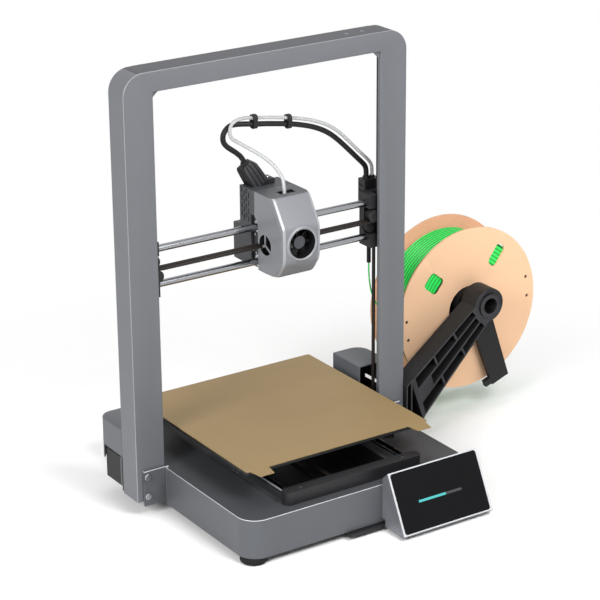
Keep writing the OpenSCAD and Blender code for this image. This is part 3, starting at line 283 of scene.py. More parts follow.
# Materials of the whole machine
SPOOL_CENTRE = Vector(JOINT["spool_spin"]["pos_m"])
FILAMENT_D = 1.75 * MM
FILAMENT_COLOUR = (40, 232, 92)
SIDE_PITCH = 4.6 * MM
PAINTED = {"metal": 0.1, "grain": (2600, 0.000012)}
EDGED = {"metal": 0.2, "grain": (2600, 0.000006)}
MOULDED = {"grain": (1500, 0.00003)}
portal_paint = surface("portal_paint", (96, 98, 102), 0.45, shine=0.35, drift=0.05, edge=0.35, **PAINTED)
# Portal: its darker top is painted shade, and the bright line along its outer front edge is a painted
# highlight.
portal_painted_shade = surface("portal_painted_shade", (70, 71, 75), 0.5, shine=0.3, **PAINTED)
portal_painted_highlight = surface("portal_painted_highlight", (146, 148, 152), 0.38, **EDGED)
# Base: a painted highlight for the bright line along its outer top edge, and painted shade that darkens its
# deck.
base_edge_painted_highlight = surface("base_edge_painted_highlight", (186, 188, 192), 0.35, **EDGED)
base_deck_painted_shade = surface("base_deck_painted_shade", (62, 63, 66), 0.5, shine=0.3, drift=0.06, edge=0.3, **PAINTED)
base_paint = surface("base_paint", (82, 84, 88), 0.48, shine=0.35, drift=0.06, edge=0.3, **PAINTED)
cover_grey = surface("cover_grey", (92, 94, 98), 0.5, grain=(1800, 0.00002), shine=0.3)
shroud_silver = surface("shroud_silver", (116, 118, 122), 0.42, metal=0.15, grain=(3000, 0.000008),
                        drift=0.04, edge=0.0)
# The fan ring's lighter silver is a painted highlight.
shroud_ring_highlight = surface("shroud_ring_highlight", (134, 136, 140), 0.38, metal=0.15, grain=(3000, 0.000006), edge=0.0)
# A painted highlight for the strip down each front corner of the shroud.
shroud_corner_highlight = surface("shroud_corner_highlight", (148, 150, 154), 0.35, metal=0.2, grain=(3000, 0.000006))
shroud_top = surface("shroud_top", (66, 67, 70), 0.48, grain=(2600, 0.00001), edge=0.3)
dark_plastic = surface("dark_plastic", (18, 18, 19), 0.5, edge=1.2, shine=0.2, **MOULDED)
# A painted highlight on one flank of each ridge of the cable's boot.
ridge_flank_highlight = surface("ridge_flank_highlight", (58, 58, 60), 0.45, edge=0.6, shine=0.3, **MOULDED)
# Black used as painted shade: behind the rear cover's slots and in the spool arm's pockets.
painted_shade_black = surface("painted_shade_black", (8, 8, 9), 0.6, shine=0.1, **MOULDED)
# A painted highlight for the front faces of the spool arm's ribs.
rib_face_highlight = surface("rib_face_highlight", (34, 34, 36), 0.5, edge=1.0, shine=0.2, **MOULDED)
rear_plastic = surface("rear_plastic", (62, 63, 66), 0.5, edge=0.5, shine=0.3, **MOULDED)
black_plastic = surface("black_plastic", (24, 24, 26), 0.5, grain=(1400, 0.00003), edge=0.6, shine=0.3)
rod_chrome = surface("rod_chrome", (158, 160, 164), 0.16, metal=1.0, grain=(2000, 0.000002),
                     rough_spread=0.06, edge=0.0)
turned_steel = surface("turned_steel", (176, 178, 182), 0.28, metal=1.0, grain=(2400, 0.000006))
alloy = surface("alloy", (96, 97, 100), 0.36, metal=0.9, grain=(1800, 0.000008))
black_alloy = surface("black_alloy", (30, 30, 32), 0.45, metal=0.3, grain=(2200, 0.000015), edge=0.6)
belt_rubber = surface("belt_rubber", (34, 29, 27), 0.65, grain=(2200, 0.00003), shine=0.2)
foot_rubber = surface("foot_rubber", (24, 24, 25), 0.75, grain=(900, 0.00006), shine=0.2)
plate_coat = surface("plate_coat", (146, 123, 83), 0.55, metal=0.2, grain=(2600, 0.00005), drift=0.1,
                     edge=0.0, fleck=((114, 93, 59), 2400.0, 0.5))
heater_black = surface("heater_black", (22, 22, 23), 0.5, metal=0.2, grain=(1800, 0.00002))
motor_black = surface("motor_black", (14, 14, 15), 0.4, metal=0.2, grain=(1600, 0.00001), shine=0.3)
housing_silver = surface("housing_silver", (90, 92, 96), 0.4, metal=0.2, grain=(2800, 0.000008), edge=0.5)
# A painted highlight for the screen housing's rim round the glass.
bezel_painted_highlight = surface("bezel_painted_highlight", (196, 198, 201), 0.32, metal=0.3, grain=(2800, 0.000006))
display_glass = surface("display_glass", (14, 14, 16), 0.2, grain=(60, 0.000001), rough_spread=0.05,
                        edge=0.0, shine=0.1)
brass = surface("brass", (200, 160, 84), 0.28, metal=1.0, grain=(2000, 0.000006))
spool_card = surface("spool_card", (228, 189, 154), 0.9, grain=(700, 0.00004), stretch=(1, 1, 3),
                     drift=0.05, edge=0.1, shine=0.1, fleck=((238, 190, 148), 420.0, 0.3))
# The far flange's inner face is painted lighter: painted light against the shade between the flanges.
card_inner_painted_light = surface("card_inner_painted_light", (255, 184, 156), 0.9, grain=(700, 0.00006), shine=0.1,
                     fleck=((242, 166, 138), 420.0, 0.4))
card_edge = surface("card_edge", (226, 184, 148), 0.9, grain=(1200, 0.0001), drift=0.14, shine=0.1,
                    fleck=((170, 126, 90), 1100.0, 0.5))
# Dark of the spool's bore, partly the core's darker card and partly painted shade; also painted shade in the
# pin holes.
bore_card_and_shade = surface("bore_card_and_shade", (58, 46, 38), 0.9, grain=(900, 0.0001), drift=0.2, shine=0.1)
filament_green = surface("filament_green", FILAMENT_COLOUR, 0.34, grain=(900, 0.00001), coat=0.15)
# Dark green for painted shade seen between the outer turns of filament.
filament_gap_shade = surface("filament_gap_shade", (8, 84, 30), 0.5, grain=(900, 0.00001), shine=0.2)
filament_side = strand_material("filament_side", FILAMENT_COLOUR, SPOOL_CENTRE, SIDE_PITCH)
tube_white = surface("tube_white", (172, 173, 174), 0.45, grain=(900, 0.000001), drift=0.03, edge=0.0)
cable_black = surface("cable_black", (20, 20, 21), 0.48, grain=(1200, 0.00003), shine=0.3)
zinc_sheet = surface("zinc_sheet", (170, 172, 174), 0.36, metal=1.0, grain=(300, 0.00001), drift=0.2)
board_green = surface("board_green", (20, 74, 44), 0.4, grain=(1200, 0.00002), drift=0.2)
fan_black = surface("fan_black", (20, 20, 22), 0.45, grain=(1500, 0.00001), edge=0.6, shine=0.3)
hub_grey = surface("hub_grey", (66, 67, 70), 0.45, grain=(1500, 0.00001), shine=0.3)
hot_alloy = surface("hot_alloy", (60, 60, 62), 0.45, metal=0.8, grain=(1800, 0.000008))
screen_teal = glow("screen_teal", (80, 205, 205))
screen_grey = glow("screen_grey", (66, 68, 74))


# Meshes

def add_object(name, data):
    made = bpy.data.objects.new(name, data)
    bpy.context.scene.collection.objects.link(made)
    return made


def new_object(name, bm):
    mesh = bpy.data.meshes.new(name)
    bm.to_mesh(mesh)
    bm.free()
    return add_object(name, mesh)


def bake(made):
    """The object's modifiers become its mesh."""
    depsgraph = bpy.context.evaluated_depsgraph_get()
    mesh = bpy.data.meshes.new_from_object(made.evaluated_get(depsgraph))
    made.modifiers.clear()
    made.data = mesh
    return made


def smooth(made, degrees=32):
    for face in made.data.polygons:
        face.use_smooth = True
    made.data.set_sharp_from_angle(angle=math.radians(degrees))
    return made


def place(made, body, materials, stands_for=()):
    """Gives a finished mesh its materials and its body."""
    made.data.materials.clear()
    for material in materials:
        made.data.materials.append(material)
    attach(made, body)
    if stands_for:
        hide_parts(*stands_for)
    return made


def place_by(node, made, materials, stands_for=()):
    """Places a mesh on the body of a CAD node."""
    return place(made, BODY_OF[node], materials, stands_for)


def joined_flats(mesh, weld, degrees):
    """A welded copy of a mesh with its flat faces joined up."""
    bm = bmesh.new()
    bm.from_mesh(mesh)
    bmesh.ops.remove_doubles(bm, verts=bm.verts, dist=weld)
    bmesh.ops.dissolve_limit(bm, angle_limit=math.radians(degrees), verts=bm.verts, edges=bm.edges)
    return bm


def cad_copy(node):
    return joined_flats(NODES[node].data, 1e-6, 0.4)


def even_out(made):
    """Keeps flat faces flat in the light beside rounded edges."""
    even = made.modifiers.new("flat_faces", "WEIGHTED_NORMAL")
    even.keep_sharp = True
    even.weight = 100
    return bake(made)


def soften(made, width, clamp=True):
    """Rounds the sharp edges of a mesh."""
    for face in made.data.polygons:
        face.use_smooth = True
    bevel = made.modifiers.new("round", "BEVEL")
    bevel.width = width
    bevel.segments = 2
    bevel.limit_method = "ANGLE"
    bevel.angle_limit = math.radians(34)
    bevel.use_clamp_overlap = clamp
    return even_out(made)


def paint_faces(made, pick):
    """Sets each face's material index from its middle and its normal."""
    for face in made.data.polygons:
        face.material_index = pick(face.center, face.normal)


def dress(node, materials, width, pick=None, cuts=(), clamp=True):
    """A CAD node's own shape with edges rounded by a width in millimetres, standing for that node."""
    bm = cad_copy(node)
    for where, normal in cuts:
        everything = bm.verts[:] + bm.edges[:] + bm.faces[:]
        bmesh.ops.bisect_plane(bm, geom=everything, plane_co=where, plane_no=normal)
    made = soften(new_object(node + "_skin", bm), width * MM, clamp)
    place_by(node, made, materials, [node])
    if pick:
        paint_faces(made, pick)


def dress_all(rows):
    """Plain pieces: each node with its material and the rounding of its edges."""
    for node, material, width in rows:
        dress(node, [material], width)


def carve(made, cutters):
    """Takes the cutters out of a mesh."""
    for cutter in cutters:
        cutter.data.update()
        hole = made.modifiers.new(cutter.name, "BOOLEAN")
        hole.operation = "DIFFERENCE"
        hole.solver = "EXACT"
        hole.object = cutter
    bake(made)
    for cutter in cutters:
        bpy.data.objects.remove(cutter)


def ring_mesh(name, rings, closed_ends=True):
    """Skins equal rings of points into one tube."""
    bm = bmesh.new()
    loops = [[bm.verts.new(p) for p in ring] for ring in rings]
    count = len(loops[0])
    for near, far in zip(loops, loops[1:]):
        for k in range(count):
            bm.faces.new((near[k], near[(k + 1) % count], far[(k + 1) % count], far[k]))
    if closed_ends:
        bm.faces.new(loops[0][::-1])
        bm.faces.new(loops[-1])
    bmesh.ops.recalc_face_normals(bm, faces=bm.faces)
    return new_object(name, bm)


def fine_line(points, steps):
    """A smooth line through given points."""
    line = []
    last = len(points) - 1
    for i in range(last):
        a, b, c, d = (points[max(0, min(last, i + k))] for k in (-1, 0, 1, 2))
        for s in range(steps):
            t = s / steps
            line.append(0.5 * (2 * b + (c - a) * t + (2 * a - 5 * b + 4 * c - d) * t * t
                               + (3 * b - a - 3 * c + d) * t ** 3))
    return line + [points[-1]]


def full_turn(sides):
    return [2 * math.pi * k / sides for k in range(sides)]


def tube_rings(line, radius, sides):
    """Rings round a line, turned as little as possible from one to the next."""
    rings = []
    side = None
    for i, here in enumerate(line):
        ahead = (line[min(i + 1, len(line) - 1)] - line[max(i - 1, 0)]).normalized()
        side = side if side is not None else ahead.orthogonal()
        side = (side - ahead * side.dot(ahead)).normalized()
        up = ahead.cross(side)
        rings.append([here + radius * (side * math.cos(a) + up * math.sin(a)) for a in full_turn(sides)])
    return rings


def lathe(name, profile, sides, origin, axis, capped=True):
    """Turns a (radius, height) profile about an axis through a point."""
    aim = axis.to_track_quat("Z", "Y")
    rings = []
    for radius, height in profile:
        rings.append([origin + aim @ Vector((radius * math.cos(a), radius * math.sin(a), height))
                      for a in full_turn(sides)])
    return ring_mesh(name, rings, capped)


def box_object(name, low, high):
    """A box between two corners."""
    bm = bmesh.new()
    middle, size = (low + high) / 2, high - low
    for vert in bmesh.ops.create_cube(bm, size=1.0)["verts"]:
        vert.co = vert.co * size + middle
    return new_object(name, bm)


# Repeats: one source shape set on many aimed points

def repeat_tree(source, material):
    """Node tree that sets the source on every point, by the point's aim and across directions."""
    tree = bpy.data.node_groups.new("repeat_" + source.name, "GeometryNodeTree")
    for way in ("INPUT", "OUTPUT"):
        tree.interface.new_socket("Geometry", in_out=way, socket_type="NodeSocketGeometry")
    given = tree.nodes.new("NodeGroupInput")
    result = tree.nodes.new("NodeGroupOutput")
    shape = add_node(tree, "GeometryNodeObjectInfo", links=[("Object", source)])
    aim, across = (add_node(tree, "GeometryNodeInputNamedAttribute", data_type="FLOAT_VECTOR", links=[
        ("Name", label)]).outputs["Attribute"] for label in ("aim", "across"))
    stand = add_node(tree, "FunctionNodeAlignRotationToVector", axis="Z", links=[("Vector", aim)])
    turn = add_node(tree, "FunctionNodeAlignRotationToVector", axis="X", pivot_axis="Z", links=[
        ("Rotation", stand.outputs["Rotation"]), ("Vector", across)])
    many = add_node(tree, "GeometryNodeInstanceOnPoints", links=[
        ("Points", given.outputs["Geometry"]), ("Instance", shape.outputs["Geometry"]),
        ("Rotation", turn.outputs["Rotation"])])
    solid = add_node(tree, "GeometryNodeRealizeInstances", links=[("Geometry", many.outputs[0])])
    painted = add_node(tree, "GeometryNodeSetMaterial", links=[
        ("Geometry", solid.outputs[0]), ("Material", material)])
    tree.links.new(painted.outputs[0], result.inputs[0])
    return tree


def repeat(name, source, material, places):
    """One mesh with the source at each (point, aim, across)."""
    mesh = bpy.data.meshes.new(name)
    mesh.from_pydata([p for p, _, _ in places], [], [])
    for label, column in (("aim", 1), ("across", 2)):
        attribute = mesh.attributes.new(label, "FLOAT_VECTOR", "POINT")
        attribute.data.foreach_set("vector", [v for row in places for v in row[column]])
    made = add_object(name, mesh)
    made.modifiers.new("repeat", "NODES").node_group = repeat_tree(source, material)
    return smooth(bake(made))


X, Y, Z = Vector((1, 0, 0)), Vector((0, 1, 0)), Vector((0, 0, 1))


def socket_screw(radius):
    """A button-head screw with a hexagon socket, its seat at z = 0."""
    height = 0.55 * radius
    sides = 24
    head = [(radius, 0), (radius, 0.3 * height), (0.86 * radius, 0.75 * height), (0.6 * radius, height)]
    flat = math.cos(math.pi / 6)
    hexagon = [0.46 * radius * flat / math.cos(a % (math.pi / 3) - math.pi / 6) for a in full_turn(sides)]
    rings = [[corner] * sides for corner in head]
    rings += [[(r, h) for r in hexagon] for h in (height, 0.35 * height)]
    made = ring_mesh("screw_source", [
        [Vector((r * math.cos(a), r * math.sin(a), h)) for a, (r, h) in zip(full_turn(sides), ring)]
        for ring in rings])
    made.hide_render = True
    return made


def screws(name, body, material, radius, places):
    """Socket screws of a radius in millimetres, seated at each (point, outward direction)."""
    source = socket_screw(radius * MM)
    rows = [(point, aim, X if abs(aim.x) < 0.9 else Z) for point, aim in places]
    made = repeat(name, source, material, rows)
    bpy.data.objects.remove(source)
    place(made, body, [material])


# Base, portal and their screws

BASE_LOW, BASE_HIGH, _ = span("base_shell")
TROUGH_HALF = 69 * MM
TROUGH_TOP = 52 * MM
BASE_RIM = 3 * MM
DECK_LOW = 50 * MM
EDGE_LOW = 51 * MM
EDGE_FROM = 80 * MM
INNER_HALF, INNER_TOP = 143, 474
GUSSET = 8.1
GUSSET_SET_BACK = 3


def base_pick(center, normal):
    """Black in the trough under the bed, painted shade that darkens the deck, and a painted highlight that
    makes a bright line along its outer edge.
    """
    away = BASE_LOW.y + BASE_RIM < center.y < BASE_HIGH.y - BASE_RIM
    if away and abs(center.x) < TROUGH_HALF and center.z < TROUGH_TOP:
        return 1
    if center.z > EDGE_LOW and 0.3 < normal.z < 0.9 and (abs(center.x) > EDGE_FROM or not away):
        return 3
    return 2 if normal.z > 0.9 and center.z > DECK_LOW else 0


def portal_pick(center, normal):
    """Painted shade makes the top darker, and a painted highlight makes the outer front edge a bright line.
    """
    inner = abs(center.x) < (INNER_HALF + 2) * MM and center.z < (INNER_TOP + 2) * MM
    if -0.92 < normal.y < -0.3 and not inner:
        return 2
    return 1 if normal.z > 0.97 else 0


def dress_portal():
    """The portal, with its inner corners square in front and the small gusset behind them."""
    made = new_object("portal_frame_skin", cad_copy("portal_frame"))
    corner = [(INNER_HALF, INNER_TOP), (INNER_HALF - GUSSET, INNER_TOP), (INNER_HALF, INNER_TOP - GUSSET)]
    depths = (-1, GUSSET_SET_BACK)
    carve(made, [ring_mesh("corner_cut", [[point_mm(side * x, y, z) for x, z in corner] for y in depths])
                 for side in (-1, 1)])
    bm = joined_flats(made.data, 0.00001, 1)
    bm.to_mesh(made.data)
    bm.free()
    soften(made, 1.0 * MM, False)
    place_by("portal_frame", made, [portal_paint, portal_painted_shade, portal_painted_highlight], ["portal_frame"])
    paint_faces(made, portal_pick)


dress("base_shell", [base_paint, black_plastic, base_deck_painted_shade, base_edge_painted_highlight], 0.9, base_pick, clamp=False)
dress("base_cover", [black_plastic], 0.6)
dress_portal()
dress_all([("z_rods", rod_chrome, 0.5), ("z_rod_clamps", black_alloy, 0.6)])
dress("motor_covers", [cover_grey], 0.8, clamp=False)
dress_all([("y_rods", rod_chrome, 0.5), ("y_rod_ends", black_alloy, 1.0), ("power_inlet", black_plastic, 0.5),
           ("power_switch", black_plastic, 0.6), ("feet", foot_rubber, 0.5)])

BELL = 8 * MM
SIDE_MOTOR_X = 0.12
BED_MOTOR_LENGTH = 40 * MM
BED_MOTOR_GAP = 6.5 * MM
ROD_BAR_SCREWS = [(-66, -151.3), (66, -151.3)]
PORTAL_SCREWS = [(108.5, 16), (129, 16)]
SUNK = 1.72


def dress_motors():
    """Motors with end bells of bare alloy and a black stack between them."""
    side_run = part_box("z_rod_clamps")[1].y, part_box("stepper_motors")[1].y
    face_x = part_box("y_pulley")[1].x + BED_MOTOR_GAP
    bed_run = face_x, face_x + BED_MOTOR_LENGTH

    def bell_pick(center, normal):
        beside = abs(center.x) > SIDE_MOTOR_X
        (front, back), along = (side_run, center.y) if beside else (bed_run, center.x)
        return 0 if along < front + BELL or along > back - BELL else 1

    cuts = [((0, side_run[0] + BELL, 0), Y), ((0, side_run[1] - BELL, 0), Y),
            ((bed_run[0] + BELL, 0, 0), X), ((bed_run[1] - BELL, 0, 0), X)]
    dress("stepper_motors", [alloy, motor_black], 0.5, bell_pick, cuts)


def dress_fasteners():
    """Screws of the wings and the rod bar, and two sunk flush in the top of the portal."""
    dress("wing_screws", [turned_steel], 0.6)
    bar_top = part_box("y_rod_ends")[1].z / MM
    screws("rod_bar_screws", "base", black_alloy, 2.6,
           [(point_mm(x, y, bar_top), Z) for x, y in ROD_BAR_SCREWS])
    seat_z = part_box("portal_frame")[1].z / MM - SUNK
    screws("portal_screws", "base", turned_steel, 3.2,
           [(point_mm(x, y, seat_z), Z) for x, y in PORTAL_SCREWS])


dress_motors()
dress_fasteners()


# Screen

def dress_screen():
    """The housing with its rim painted bright as a painted highlight, the glass, and a plain progress bar on
    it.
    """
    glass = NODES["screen_glass"].data
    face = max(glass.polygons, key=lambda f: f.area * (f.normal.z > 0.2))
    normal = face.normal.copy()
    slope = X.cross(normal)
    slope = slope if slope.z > 0 else -slope
    dress("screen_housing", [housing_silver, bezel_painted_highlight], 0.8,
          lambda center, facing: 1 if facing.dot(normal) > 0.98 else 0)
    dress("screen_glass", [display_glass], 0.4)
    middle = span("screen_glass")[2]
    on_glass = middle + normal * ((glass.vertices[face.vertices[0]].co - middle).dot(normal) + 0.05 * MM)
    low, high = -4, -1.4
    for name, material, start, end in (("progress_done", screen_teal, -30, 6),
                                       ("progress_left", screen_grey, 6.4, 27)):
        corners = [(start, low), (end, low), (end, high), (start, high)]
        rings = [[on_glass + (X * x + slope * z + normal * lift) * MM for x, z in corners]
                 for lift in (-0.1, 0)]
        place(ring_mesh(name, rings), "base", [material])


dress_screen()


# Belts: flat strips with teeth on their inner side

BELT_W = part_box("y_belt")[1].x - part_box("y_belt")[0].x
BELT_T = 1.4 * MM
TOOTH_PITCH = 2 * MM
WRAP_IN = 6.3 * MM


def belt_piece(name, parts, across):
    """A flat belt along joined runs of points, its thickness away from the toothed side."""
    half = across * BELT_W / 2
    rings = []
    for line, inward in parts:
        for inner, to_teeth in zip(line, inward):
            outer = inner - to_teeth * BELT_T
            rings.append([inner - half, inner + half, outer + half, outer - half])
    return smooth(ring_mesh(name, rings))


def tooth_source():
    """One belt tooth, narrower at its top."""
    made = box_object("tooth_source", Vector((-0.46 * BELT_W, -0.5 * MM, -0.1 * MM)),
                      Vector((0.46 * BELT_W, 0.5 * MM, 0.55 * MM)))
    for vert in made.data.vertices:
        if vert.co.z > 0:
            vert.co.y *= 0.6
    made.hide_render = True
    return made


def straight(start, end, to_teeth):
    """Points and inward directions of a straight run."""
    steps = 40
    line = [start.lerp(end, i / steps) for i in range(steps + 1)]
    return line, [to_teeth] * len(line)


def teeth_along(start, end, to_teeth, across):
    """Places of the teeth on one straight run, clear of its ends."""
    margin = 8 * MM
    run = end - start
    count = int((run.length - 2 * margin) / TOOTH_PITCH)
    ahead = run.normalized()
    return [(start + ahead * (margin + TOOTH_PITCH * k), to_teeth, across) for k in range(count)]


def arc(centre, radius, first, last, plane):
    """Points and inward directions round a pulley, in a plane given by its two axes."""
    steps = 16
    line, inward = [], []
    for i in range(steps + 1):
        angle = math.radians(first + (last - first) * i / steps)
        out = plane[0] * math.cos(angle) + plane[1] * math.sin(angle)
        line.append(centre + out * radius)
        inward.append(-out)
    return line, inward


def place_belt(made, body, stands_for=()):
    place(made, body, [belt_rubber], stands_for)


def place_teeth(name, body, rows):
    place_belt(repeat(name, TOOTH, belt_rubber, rows), body)


TOOTH = tooth_source()


def dress_drive_belts():
    """Each motor's belt: a fixed run on the portal and two runs that end on the gantry."""
    for here, there, sign in (("left", "right", -1), ("right", "left", 1)):
        out = X * sign
        plane = (out, Z)
        motor = span(f"motor_pulley_{here}")[2]
        top = span(f"top_idler_{here}_outer")[2]
        far = span(f"top_idler_{there}_inner")[2]
        near_end = span(f"x_idler_{here}_lower")[2]
        far_end = span(f"x_idler_{there}_upper")[2]
        side = (motor + out * WRAP_IN, top + out * WRAP_IN, -out)
        bridge = (top + Z * WRAP_IN, far + Z * WRAP_IN, -Z)
        fixed = [arc(motor, WRAP_IN, -180, 0, plane), straight(*side), arc(top, WRAP_IN, 0, 90, plane),
                 straight(*bridge), arc(far, WRAP_IN, 90, 180, plane)]
        stands = ["drive_belts"] if here == "left" else []
        place_belt(belt_piece(f"belt_run_{here}", fixed, Y), "base", stands)
        place_teeth(f"belt_teeth_{here}", "base", teeth_along(*side, Y) + teeth_along(*bridge, Y))
        for label, wheel, idler in (("lower", motor, near_end), ("upper", far, far_end)):
            start = wheel - out * WRAP_IN
            end = Vector((wheel.x - out.x * WRAP_IN, idler.y, idler.z))
            run = belt_piece(f"belt_{label}_{here}", [straight(start, end, out)], Y)
            run.data.materials.append(belt_rubber)
            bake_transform(run)


def dress_x_belts():
    """The two belts along the gantry, each from a lower idler to the upper one across."""
    rows = []
    for here, there in (("left", "right"), ("right", "left")):
        low_idler = span(f"x_idler_{here}_lower")[2]
        high_idler = span(f"x_idler_{there}_upper")[2]
        start = low_idler + Z * WRAP_IN
        end = Vector((high_idler.x, low_idler.y, start.z))
        out = (start - end).normalized()
        quarter = arc(low_idler, WRAP_IN, 0, 90, (out, Z))
        line, inward = arc(high_idler, WRAP_IN + BELT_T, -90, 0, (-out, Z))
        flipped = (line, [-v for v in inward])
        made = belt_piece(f"gantry_belt_{here}", [quarter, straight(start, end, -Z), flipped], Y)
        stands = ["x_belts"] if here == "left" else []
        place_belt(made, "gantry", stands)
        rows += teeth_along(start, end, -Z, Y)
    place_teeth("gantry_belt_teeth", "gantry", rows)


def dress_y_belt():
    """The bed's belt, round its motor pulley and its front idler."""
    rear, front = span("y_pulley")[2], span("y_idler")[2]
    plane = (Y, Z)
    upper = (rear + Z * WRAP_IN, front + Z * WRAP_IN, -Z)
    lower = (front - Z * WRAP_IN, rear - Z * WRAP_IN, Z)
    parts = [arc(rear, WRAP_IN, -90, 90, plane), straight(*upper),
             arc(front, WRAP_IN, 90, 270, plane), straight(*lower)]
    place_belt(belt_piece("bed_belt", parts, X), "base", ["y_belt"])
    place_teeth("bed_belt_teeth", "base", teeth_along(*upper, X) + teeth_along(*lower, X))


dress_drive_belts()
dress_x_belts()
dress_y_belt()
bpy.data.objects.remove(TOOTH)

dress_all([(node, black_alloy, 0.15) for node in SLOT_OF if "pulley" in node or "idler" in node])


# Bed and gantry

BED_SCREWS_Y = (-98, -90, 90, 98)


def dress_bed():
    """The bed, with small screws along the edges of its heater."""
    dress_all([("flex_plate", plate_coat, 0.25), ("heated_bed", heater_black, 0.5),
               ("bed_carriage", black_alloy, 0.6), ("y_bearings", turned_steel, 0.6),
               ("bed_spacers", black_plastic, 0.5)])
    low, _, middle = span("heated_bed")
    screws("bed_edge_screws", "bed", black_alloy, 2.0,
           [(Vector((low.x, middle.y + y * MM, low.z + 4 * MM)), -X) for y in BED_SCREWS_Y])


dress_bed()
dress_all([("x_rods", rod_chrome, 0.5), ("x_end_left", black_plastic, 0.8),
           ("x_end_right", black_plastic, 0.8), ("filament_sensor", black_plastic, 0.8)])


# Toolhead

SHROUD_X = (-9, 41)
FAN, FAN_R = (16, -34, 288), 16.5
VENT, VENT_R = (1, 281), 11.5
SHROUD_SIDE = [(22, 337), (-12.5, 337), (-15, 335.5), (-31.8, 309.5), (-33.4, 305.5), (-34, 301), (-34, 275),
               (-33.2, 269.5), (-31.2, 264.5), (-21.8, 251.4), (-19.6, 249.3), (-16.5, 248.5), (15.7, 248.5),
               (15.7, 302), (22, 309)]
SHROUD_INSIDE = [(40, 335), (-12.8, 335), (-32, 305.4), (-32, 269.2), (-14.8, 250.5), (-12, 250.5),
                 (-12, 240), (40, 240)]
CABLE_SLOT = (-4, 6, 334, 338)
BELT_WAY = (5.9, 30, 275, 279)
SLOTS_Y = (32 * MM, 49.5 * MM)
SLOTS_DOWN = (39 * MM, 3 * MM)
SHADE_SHEET_IN, SHADE_SHEET_T = 1.2 * MM, 0.3 * MM
FAN_SHADE_DISC_R = 17.3 * MM
CARRIAGE_SCREWS = [(19, 272), (22, 266), (24, 287), (28, 268), (33, 281)]


def prism(name, outline, start, end):
    """A (y, z) outline drawn out along X, all in millimetres."""
    return ring_mesh(name, [[point_mm(x, y, z) for y, z in outline] for x in (start, end)])


def vent_outline(first):
    """One of the three openings of the round side vent, between two spokes."""
    y, z = VENT
    spoke = 1.5
    middle = math.radians(first + 60)
    apex = spoke / math.sin(math.radians(60))
    outline = [(y + apex * math.cos(middle), z + apex * math.sin(middle))]
    edge = math.degrees(math.asin(spoke / VENT_R))
    for k in range(13):
        angle = math.radians(first + edge + (120 - 2 * edge) * k / 12)
        outline.append((y + VENT_R * math.cos(angle), z + VENT_R * math.sin(angle)))
    return outline


def box_outline(y0, y1, z0, z1):
    return [(y0, z0), (y1, z0), (y1, z1), (y0, z1)]


def shroud_pick(center, normal):
    """Painted shade black on the inside faces, dark on top, and a painted highlight as a bright strip down
    each front corner.
    """
    x0, x1 = (x * MM for x in SHROUD_X)
    middle = Vector(((x0 + x1) / 2, -4 * MM, 292 * MM))
    if (center - middle).dot(normal) < 0:
        return 3
    if normal.z > 0.9:
        return 2
    return 1 if 0.38 < abs(normal.x) < 0.92 and normal.y < -0.3 else 0


def dress_shroud():
    """The shroud with its chamfered front corners, its fan ring, vents and slots."""
    x0, x1 = SHROUD_X
    made = prism("head_shroud_skin", SHROUD_SIDE, x0, x1)
    bm = bmesh.new()
    bm.from_mesh(made.data)
    front = [edge for edge in bm.edges if all(v.co.y < -12 * MM for v in edge.verts)
             and abs(edge.verts[0].co.x - edge.verts[1].co.x) < MM]
    bmesh.ops.bevel(bm, geom=front, offset=4 * MM, segments=2, profile=0.5, affect="EDGES",
                    clamp_overlap=True)
    bm.to_mesh(made.data)
    bm.free()
    x = FAN[0]
    centre = point_mm(*FAN)
    reach = FAN_R * MM
    bore = lathe("fan_bore", [(reach, -6 * MM), (reach, 4 * MM)], 64, centre, -Y)
    cutters = [prism("inside", SHROUD_INSIDE, x0 + 2, x1 - 2), bore,
               prism("slot", box_outline(*CABLE_SLOT), x - 7, x + 12),
               prism("belt_way", box_outline(*BELT_WAY), x0 - 1, x1 + 1)]
    cutters += [prism(f"vent_{a}", vent_outline(a), x0 - 1, x1 + 1) for a in (90, 210, 330)]
    carve(made, cutters)
    smooth(made, 40)
    for face in made.data.polygons:
        face.use_smooth = max(abs(face.normal.x), abs(face.normal.z)) < 0.999
    even_out(made)
    place_by("head_shroud", made, [shroud_silver, shroud_corner_highlight, shroud_top, black_plastic], ["head_shroud"])
    paint_faces(made, shroud_pick)
    outline = [(0, 0.6), (0, -4.4), (1.2, -4.4), (1.2, -2), (3.2, -2), (3.2, 0), (1.6, 1.4), (0, 0.6)]
    ring = lathe("fan_ring", [(reach + r * MM, h * MM) for r, h in outline], 64, centre, -Y, False)
    place_by("head_shroud", smooth(ring, 24), [shroud_ring_highlight, fan_black])
    # Faces of the ring that look in towards the fan are painted black as painted shade.
    paint_faces(ring, lambda middle, normal: int((middle - centre).dot(normal) < 0 and normal.y > -0.5))


def ridged_ring(centre, across, along, half_w, half_d, groove):
    """A rectangle of points with grooves cut into its four sides."""
    ring = []
    per_side = 8
    corners = [(-half_w, -half_d), (half_w, -half_d), (half_w, half_d), (-half_w, half_d)]
    for k, (u0, v0) in enumerate(corners):
        u1, v1 = corners[(k + 1) % 4]
        for i in range(per_side):
            t = i / per_side
            depth = groove if i % 2 else 0.0
            u, v = u0 + (u1 - u0) * t, v0 + (v1 - v0) * t
            scale_u = 1 - (depth / half_w if k % 2 else 0.0)
            scale_v = 1 - (0.0 if k % 2 else depth / half_d)
            ring.append(centre + across * u * scale_u + along * v * scale_v)
    return ring


